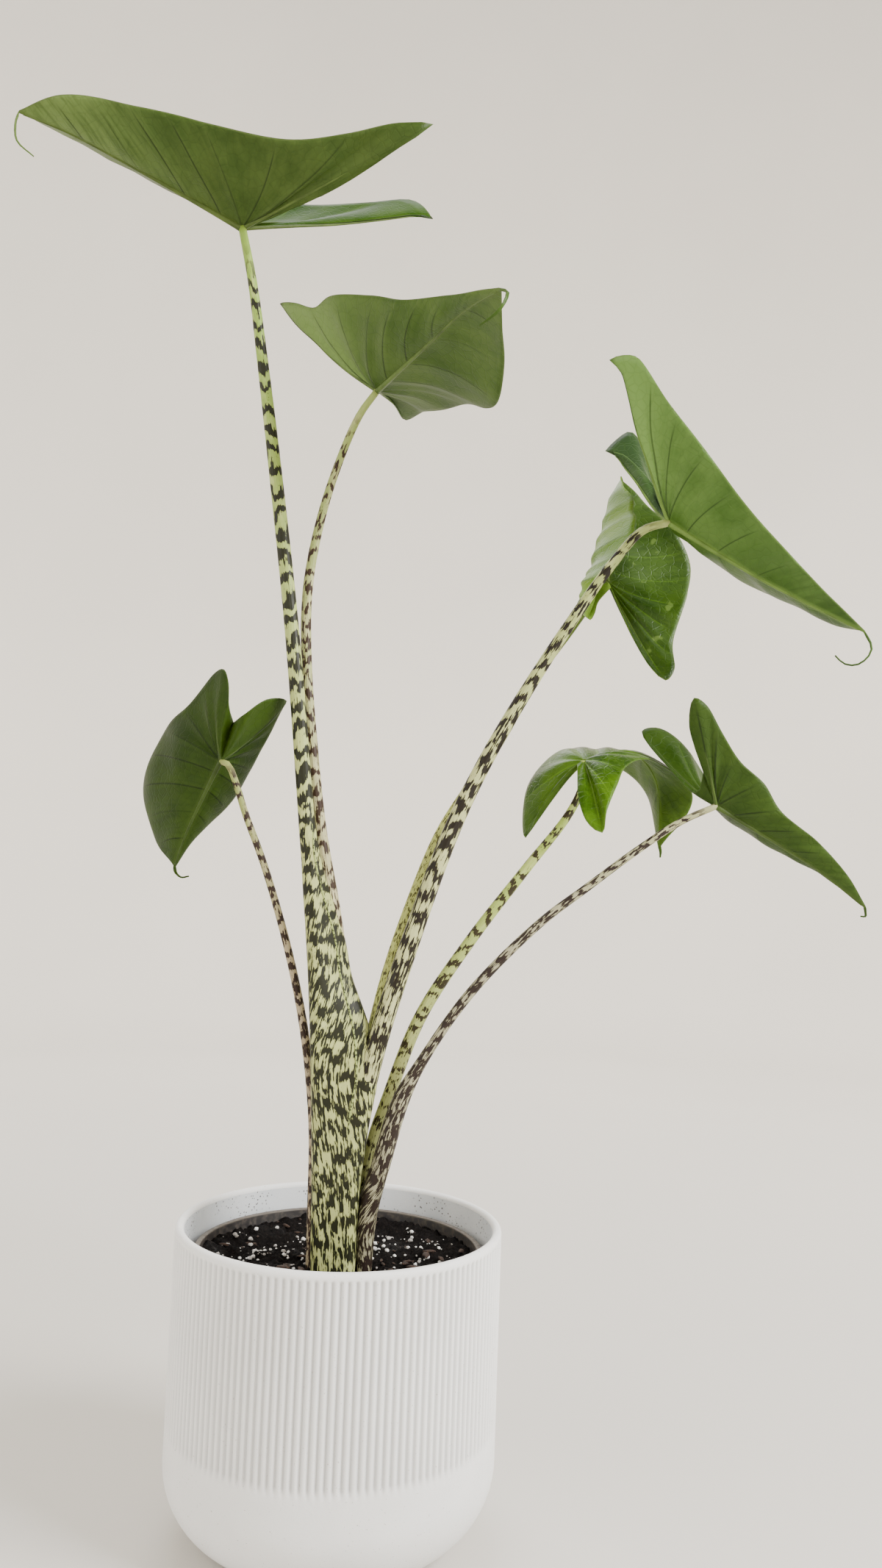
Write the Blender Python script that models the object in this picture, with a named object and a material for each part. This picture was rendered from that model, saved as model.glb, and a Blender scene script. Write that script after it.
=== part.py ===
"""Alocasia zebrina in its nursery pot, standing in a fluted white cover pot.

Units are metres, +Z is up.  The origin is the middle of the face that the cover pot rests on,
and +Y points away from the side that the plant is seen from.
"""
import math

import bmesh
import bpy
import numpy as np

MM = 0.001
GAP = 0.0003

# Cover pot: a straight fluted wall on a wide rounded foot.
POT_RADIUS = 0.100
POT_HEIGHT = 0.180
POT_FOOT_ROUND = 0.045
POT_WALL = 0.0055
POT_FLOOR = 0.008
FLUTES = 140
FLUTE_DEPTH = 0.0007
FLUTE_TOP = 0.1755
FLUTE_BOTTOM = 0.066
FLUTE_FADE = 0.003
PLAIN_COLUMNS = 56

# Nursery pot: thin dark plastic, its lip hidden below the rim of the cover pot.
NURSERY_TOP = 0.165
NURSERY_RADIUS = 0.0885
NURSERY_WALL_RADIUS = 0.0865
NURSERY_FOOT_RADIUS = 0.0515
NURSERY_SHOULDER = (0.0805, 0.040)
NURSERY_LIP = 0.010
NURSERY_WALL = 0.0014
NURSERY_DRAIN_RADIUS = 0.006

# Potting mix: a lumpy crumb, with one plain hole for the foot of the plant.
SOIL_TOP = 0.1555
SOIL_SEGMENTS = 40
SOIL_RINGS = 10
SOIL_LUMP = 0.0020
HOLE_CENTRE = (0.0005, -0.0172)
HOLE_RADII = (0.0245, 0.0170)
HOLE_BOTTOM = 0.120

# Corm: the short stem base that every leaf stalk grows from.
CORM_TOP = 0.1430
CORM_SIDES = 24

# Leaf stalks.
STALK_SIDES = 8
STALK_STEP = 0.020
STALK_TIP_GAP = 0.0009
STALK_TIP_TAPER = 0.0035
STALK_TIP_SHRINK = 0.22

# Blades.
BLADE_THICKNESS = 0.0009
ACROSS_STEPS = 4
INNER_ROWS = 4
OUTER_ROWS = 7
STRIP_ROWS = 10
TAIL_ROWS = 4
STRIP_BOOST = 1.0
BOOST_ROWS = 3
TIP_HALF_WIDTH = 0.0013
TAIL_TAPER = 0.55
CURVE_STEPS = 12

# Route of each stalk from the corm to its blade: x, y, z and radius, in millimetres.
STALKS = {
    "tall": [(-8, -24, 143.4, 6.0), (-11, -24.5, 230, 6.0), (-18, -25, 330, 5.6), (-30, -22.5, 430, 5.0),
             (-45, -18, 547, 4.5), (-61, -14, 650, 4.1), (-74, -12, 729, 3.5), (-82, -11, 775, 3.0),
             (-91, -10, 814, 2.6)],
    "upper": [(-5.5, -12, 143.4, 5.0), (-5.5, -12.5, 240, 5.4), (-4.5, -13.5, 320, 6.2), (-12, -14, 370, 5.4),
              (-22, -14, 420, 4.4),
              (-30, -12.5, 476, 3.8), (-36, -8, 528, 3.4), (-38, -3, 575, 3.2), (-33, 0, 618, 2.9),
              (-23, 0, 658, 2.6), (-9, -6, 692, 2.4), (2, -10, 707, 2.2)],
    "large": [(5, -24, 143.4, 6.2), (6, -24.5, 205, 6.4), (11, -25, 250, 6.4), (19, -24, 290, 6.3),
              (31, -21, 333, 6.0), (59, -14, 420, 5.3), (78, -10, 464, 4.7), (100, -6, 506, 4.3),
              (130, -2, 557, 4.1), (160, 0, 603, 3.8), (178, 0, 624, 3.3), (195, 0, 630, 2.8)],
    "folded": [(5.6, -12, 143.4, 4.7), (6, -12, 205, 4.7), (10, -11.5, 255, 4.6), (23, -8, 328, 4.3),
               (37, -4, 377, 3.9), (53, 0, 421, 3.5), (69, 4, 450, 3.0), (82, 11, 470, 2.8),
               (97, 27, 497, 2.6), (111, 46, 526, 2.4), (124, 61, 547, 2.3), (139, 72, 569, 2.2),
               (151, 74, 587, 2.1), (164, 60, 605, 2.0)],
    "young": [(14.6, -9.5, 143.4, 4.4), (14.8, -10, 190, 4.4), (18.5, -11, 228, 4.3), (27, -12, 257, 4.2),
              (45, -7, 307, 4.0), (74, -2, 354, 3.6), (109, 2, 402, 3.1), (136, 11, 438, 2.6),
              (145, 19, 457, 2.4), (146, 20, 474, 2.1)],
    "low": [(16.6, -20, 143.4, 4.2), (18, -22.5, 189, 5.2), (25.5, -25, 223, 5.8), (35, -25, 258, 5.4),
            (47, -24, 282, 3.5), (75, -21, 324, 3.1), (117, -15, 368, 2.8), (146, -11, 391, 2.6),
            (177, -6, 415, 2.4), (206, -2, 435, 2.2), (229, 0, 446, 2.0)],
    "small": [(-15.5, -14, 143.4, 3.2), (-16.5, -14, 195, 3.1), (-18, -13, 240, 3.0), (-26, -11.5, 295, 2.7),
              (-38, -14, 345, 2.4), (-55, -17, 397, 2.2), (-68, -20, 429, 2.1), (-75, -22, 449, 2.0),
              (-80, -22, 459, 1.9), (-85, -20, 461, 1.8)],
}

# Blades, in millimetres.  junction: where stalk and blade meet.  Offsets from the junction give the
# tip, further points of the midrib, the ends of the left and right back lobes, the point where the
# lobes part (sinus) and the thin tail past the tip.  left and right are the margins as seen from
# above with the tip ahead, from the sinus round the lobe to the tip: (along the midrib, across
# towards the margin, lift off the half's own plane), or "lobe" for the lobe's end.
# side gives the number of the margin point of each half where the first side vein ends, camber the
# bow of the side veins.  heading is given for a blade whose halves are both measured from the level.
LEAVES = {
    "tall": dict(
        junction=(-91, -10, 814), tip=(-130, -55, 37), midrib=[(-43, -15, 16), (-77, -27, 28), (-104, -38, 36)],
        left_lobe=(118, -45, 44), right_lobe=(121, 62, 50), sinus=(8, 2, 5),
        tail=[(-131, -57, 28), (-129, -57, 17), (-119, -55, 9)],
        left=[(-15, 17, -3), (-43, 51, -3), (-64, 84, -2), "lobe", (-64, 105, 0), (-37, 86, -6), (-6, 66, -6),
              (40, 50, -3), (82, 38, 0), (127, 21, 0)],
        right=[(-37, 35, -10), (-82, 71, -13), (-114, 96, -15), "lobe", (-106, 104, -20), (-79, 91, -27),
               (-32, 69, -38), (20, 52, -46), (59, 41, -46), (82, 34, -40), (116, 23, -27), (137, 12, -14)],
        side=(7, 7), camber=(-5, -4)),
    "upper": dict(
        junction=(2, -10, 707), tip=(72, -140, -2), midrib=[(28, -50, 4), (54, -100, 6)],
        left_lobe=(16, 85, 15), right_lobe=(-73, 40, 76), sinus=(-3, 7, 4),
        tail=[(76, -148, -8), (72, -150, -18), (62, -144, -24)],
        left=[(-31, 27, 0), "lobe", (-52, 57, -2), (-31, 51, -6), (20, 48, -18), (62, 40, -33), (84, 35, -35),
              (111, 26, -24), (136, 12, -11)],
        right=[(-14, 20, 0), (-54, 72, 0), "lobe", (-62, 86, 0), (-49, 80, 0), (-27, 68, 0), (-1, 65, 0),
               (38, 48, 0), (73, 31, 0), (113, 16, 0), (141, 7, 0)],
        side=(4, 6), camber=(5, -5)),
    "large": dict(
        junction=(195, 0, 630), tip=(111, -45, -78), midrib=[(20, -7, -15), (57, -23, -43), (86, -35, -62)],
        left_lobe=(-30, 60, 73), right_lobe=(-42, -40, 94), sinus=(-6, 1, 12),
        tail=[(115, -47, -88), (112, -47, -95), (106, -46, -99), (99, -45, -98), (94, -44, -93)],
        left=[(-30, 29, 2), (-62, 47, 2), (-79, 55, 0), "lobe", (-81, 74, 6), (-67, 71, 3), (-44, 58, -4),
              (-20, 48, -14), (7, 36, -23), (33, 25, -22), (69, 18, -20), (101, 12, -14), (126, 5, -8)],
        right=[(-19, 22, 0), (-46, 62, 0), (-65, 77, 0), "lobe", (-60, 88, 0), (-26, 71, 0), (26, 45, 0),
               (71, 25, 0), (109, 12, 0)],
        side=(8, 6), camber=(-4, -4)),
    "folded": dict(
        junction=(164, 60, 605), tip=(13, 35, 85), midrib=[(2, 11, 28), (6, 23, 57)],
        left_lobe=(-17, -45, -38), right_lobe=(36, -30, -75), sinus=(2, -3, -5),
        tail=[(13, 36, 87), (13, 37, 89)],
        left=[(-25, 12, 0), (-45, 24, 2), "lobe", (-54, 33, -2), (-42, 37, 2), (-26, 41, 10), (-1, 42, 23),
              (15, 38, 25), (27, 34, 26), (38, 28, 20), (52, 24, 15), (76, 13, 6)],
        right=[(-41, 21, 0), (-66, 36, 0), "lobe", (-66, 52, 0), (-40, 50, 0), (0, 56, 0), (30, 56, 0),
               (62, 34, 0), (84, 12, 0)],
        side=(4, 5), camber=(-13, -3)),
    "young": dict(
        junction=(146, 20, 474), tip=(61, 55, -52), midrib=[(19, 12, 7), (40, 35, 10), (58, 54, -8)],
        left_lobe=(-37, 0, -52), right_lobe=(7, -45, -50), sinus=(-5, -4, -3), heading=42,
        tail=[(62, 56, -56), (62, 57, -60)],
        left=[(-10, 9, -11), (-22, 17, -32), "lobe", (-20, 35, -38), (-6, 43, -12), (12, 42, 6), (36, 38, 11),
              (74, 28, 3), (92, 20, -16)],
        right=[(-24, 18, -30), (-29, 31, -45), "lobe", (-20, 37, -37), (-4, 32, -16), (10, 27, -4),
               (39, 25, 2), (67, 28, -6), (89, 22, -22)],
        side=(5, 5), camber=(3, 3)),
    "low": dict(
        junction=(229, 0, 446), tip=(100, 15, -61), midrib=[(17, 4, -9), (43, 8, -23), (70, 11, -39)],
        left_lobe=(-43, 35, 51), right_lobe=(-21, -25, 65), sinus=(-9, -1, 21),
        tail=[(101, 16, -64), (101, 16, -67), (98, 16, -67)],
        left=[(-14, 6, -2), (-40, 29, -3), "lobe", (-49, 55, 6), (-31, 51, 8), (-8, 40, 2), (15, 22, -9),
              (28, 18, -8), (47, 13, -6), (66, 9, -3), (89, 5, 1)],
        right=[(-24, 16, 0), (-46, 32, 0), "lobe", (-46, 49, 0), (-28, 41, 0), (-6, 32, 0), (15, 29, 0),
               (34, 21, 0), (66, 18, 0), (96, 11, 0)],
        side=(6, 6), camber=(-3, -3)),
    "small": dict(
        junction=(-85, -20, 461), tip=(-33, 35, -66), midrib=[(-12, 11, -22), (-24, 23, -45)],
        left_lobe=(-1, 0, 58), right_lobe=(38, 12, 41), sinus=(6, 4, 25),
        tail=[(-32, 35, -70), (-28, 34, -73), (-23, 34, -72)],
        left=[(-31, 14, 0), (-43, 25, 0), "lobe", (-39, 43, 0), (-8, 54, 0), (15, 67, 0), (48, 71, 0),
              (69, 61, 0), (82, 32, 0)],
        right=[(-35, 3, 0), (-45, 17, 0), "lobe", (-38, 37, 0), (-25, 35, 0), (-9, 33, 0), (9, 33, 0),
               (41, 23, 0), (62, 7, 0)],
        side=(5, 6), camber=(-4, -3)),
}

STALK_COLOURS = {
    "tall": (0.44, 0.50, 0.20),
    "upper": (0.50, 0.46, 0.30),
    "large": (0.56, 0.54, 0.34),
    "folded": (0.45, 0.52, 0.22),
    "young": (0.44, 0.54, 0.16),
    "low": (0.55, 0.44, 0.36),
    "small": (0.52, 0.43, 0.34),
}
BLADE_COLOURS = {
    "tall": (0.10, 0.22, 0.05),
    "upper": (0.10, 0.22, 0.05),
    "large": (0.09, 0.21, 0.05),
    "folded": (0.14, 0.28, 0.07),
    "young": (0.13, 0.32, 0.03),
    "low": (0.07, 0.19, 0.04),
    "small": (0.05, 0.16, 0.03),
}


def clear_scene():
    for obj in list(bpy.data.objects):
        bpy.data.objects.remove(obj, do_unlink=True)


def make_material(name, colour, roughness):
    material = bpy.data.materials.new(name)
    material.use_nodes = True
    shader = material.node_tree.nodes["Principled BSDF"]
    shader.inputs["Base Color"].default_value = (*colour, 1.0)
    shader.inputs["Roughness"].default_value = roughness
    shader.inputs["Metallic"].default_value = 0.0
    return material


def add_object(name, points, faces, material, smooth_angle=50):
    """A mesh object with its faces pointing outwards."""
    mesh = bpy.data.meshes.new(name)
    mesh.from_pydata([tuple(p) for p in points], [], faces)
    shape = bmesh.new()
    shape.from_mesh(mesh)
    bmesh.ops.recalc_face_normals(shape, faces=shape.faces)
    if shape.calc_volume(signed=True) < 0:
        bmesh.ops.reverse_faces(shape, faces=shape.faces)
    shape.to_mesh(mesh)
    shape.free()
    mesh.shade_smooth()
    mesh.set_sharp_from_angle(angle=math.radians(smooth_angle))
    mesh.materials.append(material)
    obj = bpy.data.objects.new(name, mesh)
    bpy.context.scene.collection.objects.link(obj)
    return obj


def unit(vector):
    return vector / np.linalg.norm(vector)


def smooth_curve(points, per_span):
    """Points along a centripetal curve through the given points, per_span to each stretch."""
    given = [np.array(p, float) for p in points]
    padded = [2 * given[0] - given[1]] + given + [2 * given[-1] - given[-2]]
    curve = []
    for i in range(1, len(padded) - 2):
        before, start, end, after = padded[i - 1:i + 3]
        d1, d2, d3 = (max(np.linalg.norm(b - a), 1e-9) ** 0.5
                      for a, b in ((before, start), (start, end), (end, after)))
        leave = ((start - before) / d1 - (end - before) / (d1 + d2) + (end - start) / d2) * d2
        arrive = ((end - start) / d2 - (after - start) / (d2 + d3) + (after - end) / d3) * d2
        for k in range(per_span):
            t = k / per_span
            curve.append((2 * t ** 3 - 3 * t ** 2 + 1) * start + (t ** 3 - 2 * t ** 2 + t) * leave
                         + (3 * t ** 2 - 2 * t ** 3) * end + (t ** 3 - t ** 2) * arrive)
    curve.append(given[-1])
    return np.array(curve)


def evenly(curve, steps):
    """steps + 1 points at equal distances along a curve; extra columns are carried along."""
    lengths = np.linalg.norm(np.diff(curve[:, :3], axis=0), axis=1)
    along = np.concatenate([[0.0], np.cumsum(lengths)])
    wanted = np.linspace(0.0, along[-1], steps + 1)
    return np.stack([np.interp(wanted, along, curve[:, k]) for k in range(curve.shape[1])], axis=1)


def ring_faces(lower, upper):
    """Triangles between two rings of point numbers, whose counts may differ by a whole factor."""
    faces = []
    if len(lower) == len(upper):
        count = len(lower)
        for i in range(count):
            j = (i + 1) % count
            faces.append((lower[i], lower[j], upper[j]))
            faces.append((lower[i], upper[j], upper[i]))
        return faces
    few, many = (lower, upper) if len(lower) < len(upper) else (upper, lower)
    factor = len(many) // len(few)
    for i in range(len(few)):
        j = (i + 1) % len(few)
        first = i * factor
        for k in range(factor):
            a, b = many[(first + k) % len(many)], many[(first + k + 1) % len(many)]
            faces.append((few[i], a, b) if k < factor / 2 else (few[j], a, b))
        middle = many[(first + (factor + 1) // 2) % len(many)]
        faces.append((few[i], middle, few[j]))
    return faces


def turned(name, rings, material, smooth_angle=35):
    """A closed turned body.  rings: (radius, height, columns, flute), from one pole to the other."""
    points, loops, faces = [], [], []
    for radius, height, columns, flute in rings:
        if radius <= 0.0:
            loops.append([len(points)])
            points.append((0.0, 0.0, height))
            continue
        loop = []
        for i in range(columns):
            angle = 2 * math.pi * i / columns
            r = radius - (flute if i % 2 else 0.0)
            loop.append(len(points))
            points.append((r * math.cos(angle), r * math.sin(angle), height))
        loops.append(loop)
    for lower, upper in zip(loops, loops[1:]):
        if len(lower) == 1 or len(upper) == 1:
            pole, ring = (lower[0], upper) if len(lower) == 1 else (upper[0], lower)
            faces.extend((pole, ring[i], ring[(i + 1) % len(ring)]) for i in range(len(ring)))
        else:
            faces.extend(ring_faces(lower, upper))
    return add_object(name, points, faces, material, smooth_angle)


def build_cover_pot():
    ceramic = make_material("matt_white_ceramic", (0.74, 0.71, 0.70), 0.55)
    plain, fluted = PLAIN_COLUMNS, 2 * FLUTES
    inner = POT_RADIUS - POT_WALL
    foot = POT_FOOT_ROUND
    rings = [(0.0, 0.0, plain, 0.0)]
    for step in range(7):
        turn = math.pi / 2 * step / 6
        rings.append((POT_RADIUS - foot + foot * math.sin(turn), foot - foot * math.cos(turn), plain, 0.0))
    rings += [(POT_RADIUS, FLUTE_BOTTOM - FLUTE_FADE, plain, 0.0),
              (POT_RADIUS, FLUTE_BOTTOM + FLUTE_FADE, fluted, FLUTE_DEPTH),
              (POT_RADIUS, FLUTE_TOP - FLUTE_FADE / 2, fluted, FLUTE_DEPTH),
              (POT_RADIUS, FLUTE_TOP + FLUTE_FADE / 2, plain, 0.0)]
    lip = POT_WALL / 2
    for step in range(5):
        turn = math.pi * step / 4
        rings.append((POT_RADIUS - lip + lip * math.cos(turn), POT_HEIGHT - lip + lip * math.sin(turn),
                      plain, 0.0))
    bowl = foot - POT_FLOOR + 0.004
    for step in range(6):
        turn = math.pi / 2 * step / 5
        rings.append((inner - bowl + bowl * math.cos(turn), POT_FLOOR + bowl - bowl * math.sin(turn),
                      plain, 0.0))
    rings.append((0.0, POT_FLOOR, plain, 0.0))
    return turned("cover_pot", rings, ceramic)


def nursery_rings(inset, floor, top, columns):
    """Outer line of the nursery pot, drawn in by inset, from the floor up to top."""
    shoulder_radius, shoulder_height = NURSERY_SHOULDER
    foot = (NURSERY_FOOT_RADIUS - inset, floor, columns, 0.0)
    mid_radius = (NURSERY_FOOT_RADIUS + shoulder_radius) / 2 + 0.004
    mid = (mid_radius - inset, floor + (shoulder_height - floor) * 0.36, columns, 0.0)
    shoulder = (shoulder_radius - inset, shoulder_height, columns, 0.0)
    slope = (NURSERY_WALL_RADIUS - shoulder_radius) / (NURSERY_TOP - shoulder_height)
    upper = (shoulder_radius + slope * (top - shoulder_height) - inset, top, columns, 0.0)
    return [foot, mid, shoulder, upper]


def build_nursery_pot():
    plastic = make_material("dark_nursery_plastic", (0.030, 0.029, 0.030), 0.5)
    columns = SOIL_SEGMENTS
    base = POT_FLOOR + GAP
    lip_height = NURSERY_TOP - NURSERY_LIP
    outside = nursery_rings(0.0, base, lip_height, columns)
    inside = nursery_rings(NURSERY_WALL, base + NURSERY_WALL, NURSERY_TOP, columns)
    rings = outside + [(NURSERY_RADIUS, lip_height, columns, 0.0), (NURSERY_RADIUS, NURSERY_TOP, columns, 0.0)]
    rings += inside[::-1]
    drain = (NURSERY_DRAIN_RADIUS, base + NURSERY_WALL, columns, 0.0)
    rings += [drain, (NURSERY_DRAIN_RADIUS, base, columns, 0.0), rings[0]]
    return turned_ring("nursery_pot", rings[:-1], plastic)


def turned_ring(name, rings, material):
    """A turned body with a hole through it: the last ring joins the first."""
    points, loops, faces = [], [], []
    for radius, height, columns, _ in rings:
        loop = []
        for i in range(columns):
            angle = 2 * math.pi * i / columns
            loop.append(len(points))
            points.append((radius * math.cos(angle), radius * math.sin(angle), height))
        loops.append(loop)
    for lower, upper in zip(loops, loops[1:] + loops[:1]):
        faces.extend(ring_faces(lower, upper))
    return add_object(name, points, faces, material, 35)


def lump(x, y):
    """Height of the crumbly surface above its mean, a sum of fixed waves."""
    coarse = math.sin(171 * x + 1.3) * math.sin(143 * y + 0.4)
    medium = math.sin(391 * x - 322 * y + 2.1) * 0.7
    fine = math.sin(683 * x + 501 * y) * math.sin(557 * x - 613 * y + 0.9) * 0.8
    return SOIL_LUMP * (coarse + medium + fine) / 2


def build_potting_mix():
    crumb = make_material("dark_potting_mix", (0.018, 0.013, 0.011), 0.95)
    inset = NURSERY_WALL + GAP
    floor = POT_FLOOR + GAP + NURSERY_WALL + GAP
    rim = nursery_rings(inset, floor, SOIL_TOP, SOIL_SEGMENTS)
    points, loops, faces = [(0.0, 0.0, floor)], [], []
    for radius, height, _, _ in rim:
        loop = []
        for i in range(SOIL_SEGMENTS):
            angle = 2 * math.pi * i / SOIL_SEGMENTS
            loop.append(len(points))
            points.append((radius * math.cos(angle), radius * math.sin(angle), height))
        loops.append(loop)
    edge = rim[-1][0]
    for ring in range(SOIL_RINGS - 1, 0, -1):
        radius = edge * ring / SOIL_RINGS
        loop = []
        for i in range(SOIL_SEGMENTS):
            angle = 2 * math.pi * (i + 0.5 * (ring % 2)) / SOIL_SEGMENTS
            x, y = radius * math.cos(angle), radius * math.sin(angle)
            loop.append(len(points))
            points.append((x, y, SOIL_TOP + lump(x, y)))
        loops.append(loop)
    bottom, last = loops[0], loops[-1]
    count = SOIL_SEGMENTS
    faces.extend((0, bottom[(i + 1) % count], bottom[i]) for i in range(count))
    for lower, upper in zip(loops, loops[1:]):
        faces.extend(ring_faces(lower, upper))
    points.append((0.0, 0.0, SOIL_TOP + lump(0.0, 0.0)))
    centre = len(points) - 1
    faces.extend((centre, last[i], last[(i + 1) % count]) for i in range(count))
    soil = add_object("potting_mix", points, faces, crumb)
    hole = add_hole_cutter()
    cut = soil.modifiers.new("plant_hole", "BOOLEAN")
    cut.operation = "DIFFERENCE"
    cut.solver = "EXACT"
    cut.object = hole
    return soil


def hole_ring(inset, height, sides):
    ring = []
    for i in range(sides):
        angle = 2 * math.pi * (i + 0.31) / sides
        ring.append((HOLE_CENTRE[0] + (HOLE_RADII[0] - inset) * math.cos(angle),
                     HOLE_CENTRE[1] + (HOLE_RADII[1] - inset) * math.sin(angle), height))
    return ring


def stacked(rings):
    """Points and triangles of a closed stack of rings, with flat ends."""
    points, loops, faces = [], [], []
    for ring in rings:
        loops.append(list(range(len(points), len(points) + len(ring))))
        points.extend(ring)
    for lower, upper in zip(loops, loops[1:]):
        faces.extend(ring_faces(lower, upper))
    for loop, ring in ((loops[0], rings[0]), (loops[-1], rings[-1])):
        points.append(tuple(np.mean(np.array(ring), axis=0)))
        middle = len(points) - 1
        faces.extend((middle, loop[i], loop[(i + 1) % len(loop)]) for i in range(len(loop)))
    return points, faces


def add_hole_cutter():
    points, faces = stacked([hole_ring(0.0, HOLE_BOTTOM, CORM_SIDES), hole_ring(0.0, SOIL_TOP + 0.02, CORM_SIDES)])
    cutter = add_object("plant_hole_cutter", points, faces, make_material("guide", (0.5, 0.5, 0.5), 0.5))
    cutter.hide_render = True
    cutter.display_type = "WIRE"
    return cutter


def build_corm():
    """An oval stump that fills the lower part of the hole; its flat top carries the stalks."""
    flesh = make_material("brown_corm", (0.16, 0.11, 0.06), 0.8)
    sizes = [(0.0045, HOLE_BOTTOM + GAP), (0.0012, HOLE_BOTTOM + 0.004), (0.0006, HOLE_BOTTOM + 0.010),
             (0.0006, CORM_TOP - 0.002), (0.0016, CORM_TOP)]
    points, faces = stacked([hole_ring(inset, height, CORM_SIDES) for inset, height in sizes])
    return add_object("corm", points, faces, flesh)


def tube(name, route, material):
    """A tapering stalk of STALK_SIDES sides along route rows of x, y, z and radius."""
    steps = len(route) - 1
    tangents = np.gradient(route[:, :3], axis=0)
    tangents = np.array([unit(t) for t in tangents])
    across = unit(np.cross(tangents[0], (0.0, 1.0, 0.0)))
    rings = []
    for i in range(steps + 1):
        across = unit(across - tangents[i] * (across @ tangents[i]))
        other = np.cross(tangents[i], across)
        ring = []
        for k in range(STALK_SIDES):
            angle = 2 * math.pi * k / STALK_SIDES
            ring.append(tuple(route[i, :3] + route[i, 3] * (across * math.cos(angle) + other * math.sin(angle))))
        rings.append(ring)
    points, faces = stacked(rings)
    return add_object(name, points, faces, material, 60)


def build_stalk(name):
    """The foot ring lies flat on the corm; the tip stops just short of the blade."""
    route = smooth_curve(np.array(STALKS[name]) * MM, CURVE_STEPS)
    length = np.linalg.norm(np.diff(route[:, :3], axis=0), axis=1).sum()
    end = route[-1]
    heading = unit(route[-1, :3] - route[-2, :3])
    shoulder = np.append(end[:3] - heading * (STALK_TIP_GAP + STALK_TIP_TAPER), end[3])
    point = np.append(end[:3] - heading * STALK_TIP_GAP, end[3] * STALK_TIP_SHRINK)
    route = evenly(route, max(8, round(length / STALK_STEP)))
    route = np.vstack([route[:-1], shoulder, point])
    material = make_material("stalk_" + name, STALK_COLOURS[name], 0.45)
    stalk = tube("stalk_" + name, route, material)
    flatten_foot(stalk)
    return stalk


def flatten_foot(stalk):
    """Bring the lowest ring and its middle to one height, a hair above the corm."""
    foot = CORM_TOP + GAP
    for i in range(STALK_SIDES):
        stalk.data.vertices[i].co.z = foot
    middle = min((v for v in stalk.data.vertices[STALK_SIDES:]), key=lambda v: v.co.z)
    middle.co.z = foot


def half_axes(leaf, side):
    """Along the midrib, across towards the margin, and the upper side, of one half of a blade."""
    sign = 1.0 if side == "left" else -1.0
    if "heading" in leaf:
        turn = math.radians(leaf["heading"])
        along = np.array((math.cos(turn), math.sin(turn), 0.0))
        across = sign * np.array((-math.sin(turn), math.cos(turn), 0.0))
        return along, across, np.array((0.0, 0.0, 1.0))
    along = unit(np.array(leaf["tip"], float))
    lobe = np.array(leaf[side + "_lobe"], float)
    across = unit(lobe - along * (lobe @ along))
    return along, across, sign * np.cross(along, across)


def margin_points(leaf, side):
    """Offsets from the junction of the margin, from the sinus round the lobe to the tip."""
    along, across, upper = half_axes(leaf, side)
    points = [np.array(leaf["sinus"], float)]
    for entry in leaf[side]:
        if entry == "lobe":
            points.append(np.array(leaf[side + "_lobe"], float))
        else:
            points.append(along * entry[0] + across * entry[1] + upper * entry[2])
    points.append(np.array(leaf["tip"], float) + across * TIP_HALF_WIDTH / MM)
    return [p * MM for p in points]


def blade_rows(leaf, side):
    """Rows of points from midrib to margin, from the sinus round the lobe to the end of the tail."""
    along, across, upper = half_axes(leaf, side)
    half = 0 if side == "left" else 1
    bow = leaf["camber"][half] * MM
    rib_points = [(0, 0, 0)] + list(leaf["midrib"]) + [leaf["tip"]]
    rib = evenly(smooth_curve(np.array(rib_points, float) * MM, CURVE_STEPS), STRIP_ROWS)
    curve = smooth_curve(margin_points(leaf, side), CURVE_STEPS)
    lobe = (leaf[side].index("lobe") + 1) * CURVE_STEPS
    split = leaf["side"][half] * CURVE_STEPS
    inner = evenly(curve[:lobe + 1], INNER_ROWS)
    outer = evenly(curve[lobe:split + 1], OUTER_ROWS)
    strip = evenly(curve[split:], STRIP_ROWS)
    fan_rows = INNER_ROWS + OUTER_ROWS
    starts = [np.zeros(3)] * (fan_rows + 1) + list(rib[1:])
    ends = list(inner) + list(outer[1:]) + list(strip[1:])
    reach = max(np.linalg.norm(end - start) for start, end in zip(starts, ends))
    rows = []
    for number, (start, end) in enumerate(zip(starts, ends)):
        boost = 1 + STRIP_BOOST * min(1.0, max(0.0, (number - fan_rows) / BOOST_ROWS))
        size = boost * np.linalg.norm(end - start) / reach
        row = []
        for k in range(ACROSS_STEPS + 1):
            t = k / ACROSS_STEPS
            arch = 0.0 if number == 0 else bow * size * 4 * t * (1 - t)
            row.append(start + (end - start) * t + upper * arch)
        rows.append(row)
    tail_line = evenly(smooth_curve(np.array([leaf["tip"]] + leaf["tail"], float) * MM, CURVE_STEPS), TAIL_ROWS)
    for i in range(1, TAIL_ROWS + 1):
        width = TIP_HALF_WIDTH * (1 - TAIL_TAPER * i / TAIL_ROWS)
        heading = unit(tail_line[i] - tail_line[i - 1])
        sideways = unit(across - heading * (across @ heading))
        rows.append([tail_line[i] + sideways * width * k / ACROSS_STEPS for k in range(ACROSS_STEPS + 1)])
    return rows


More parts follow.
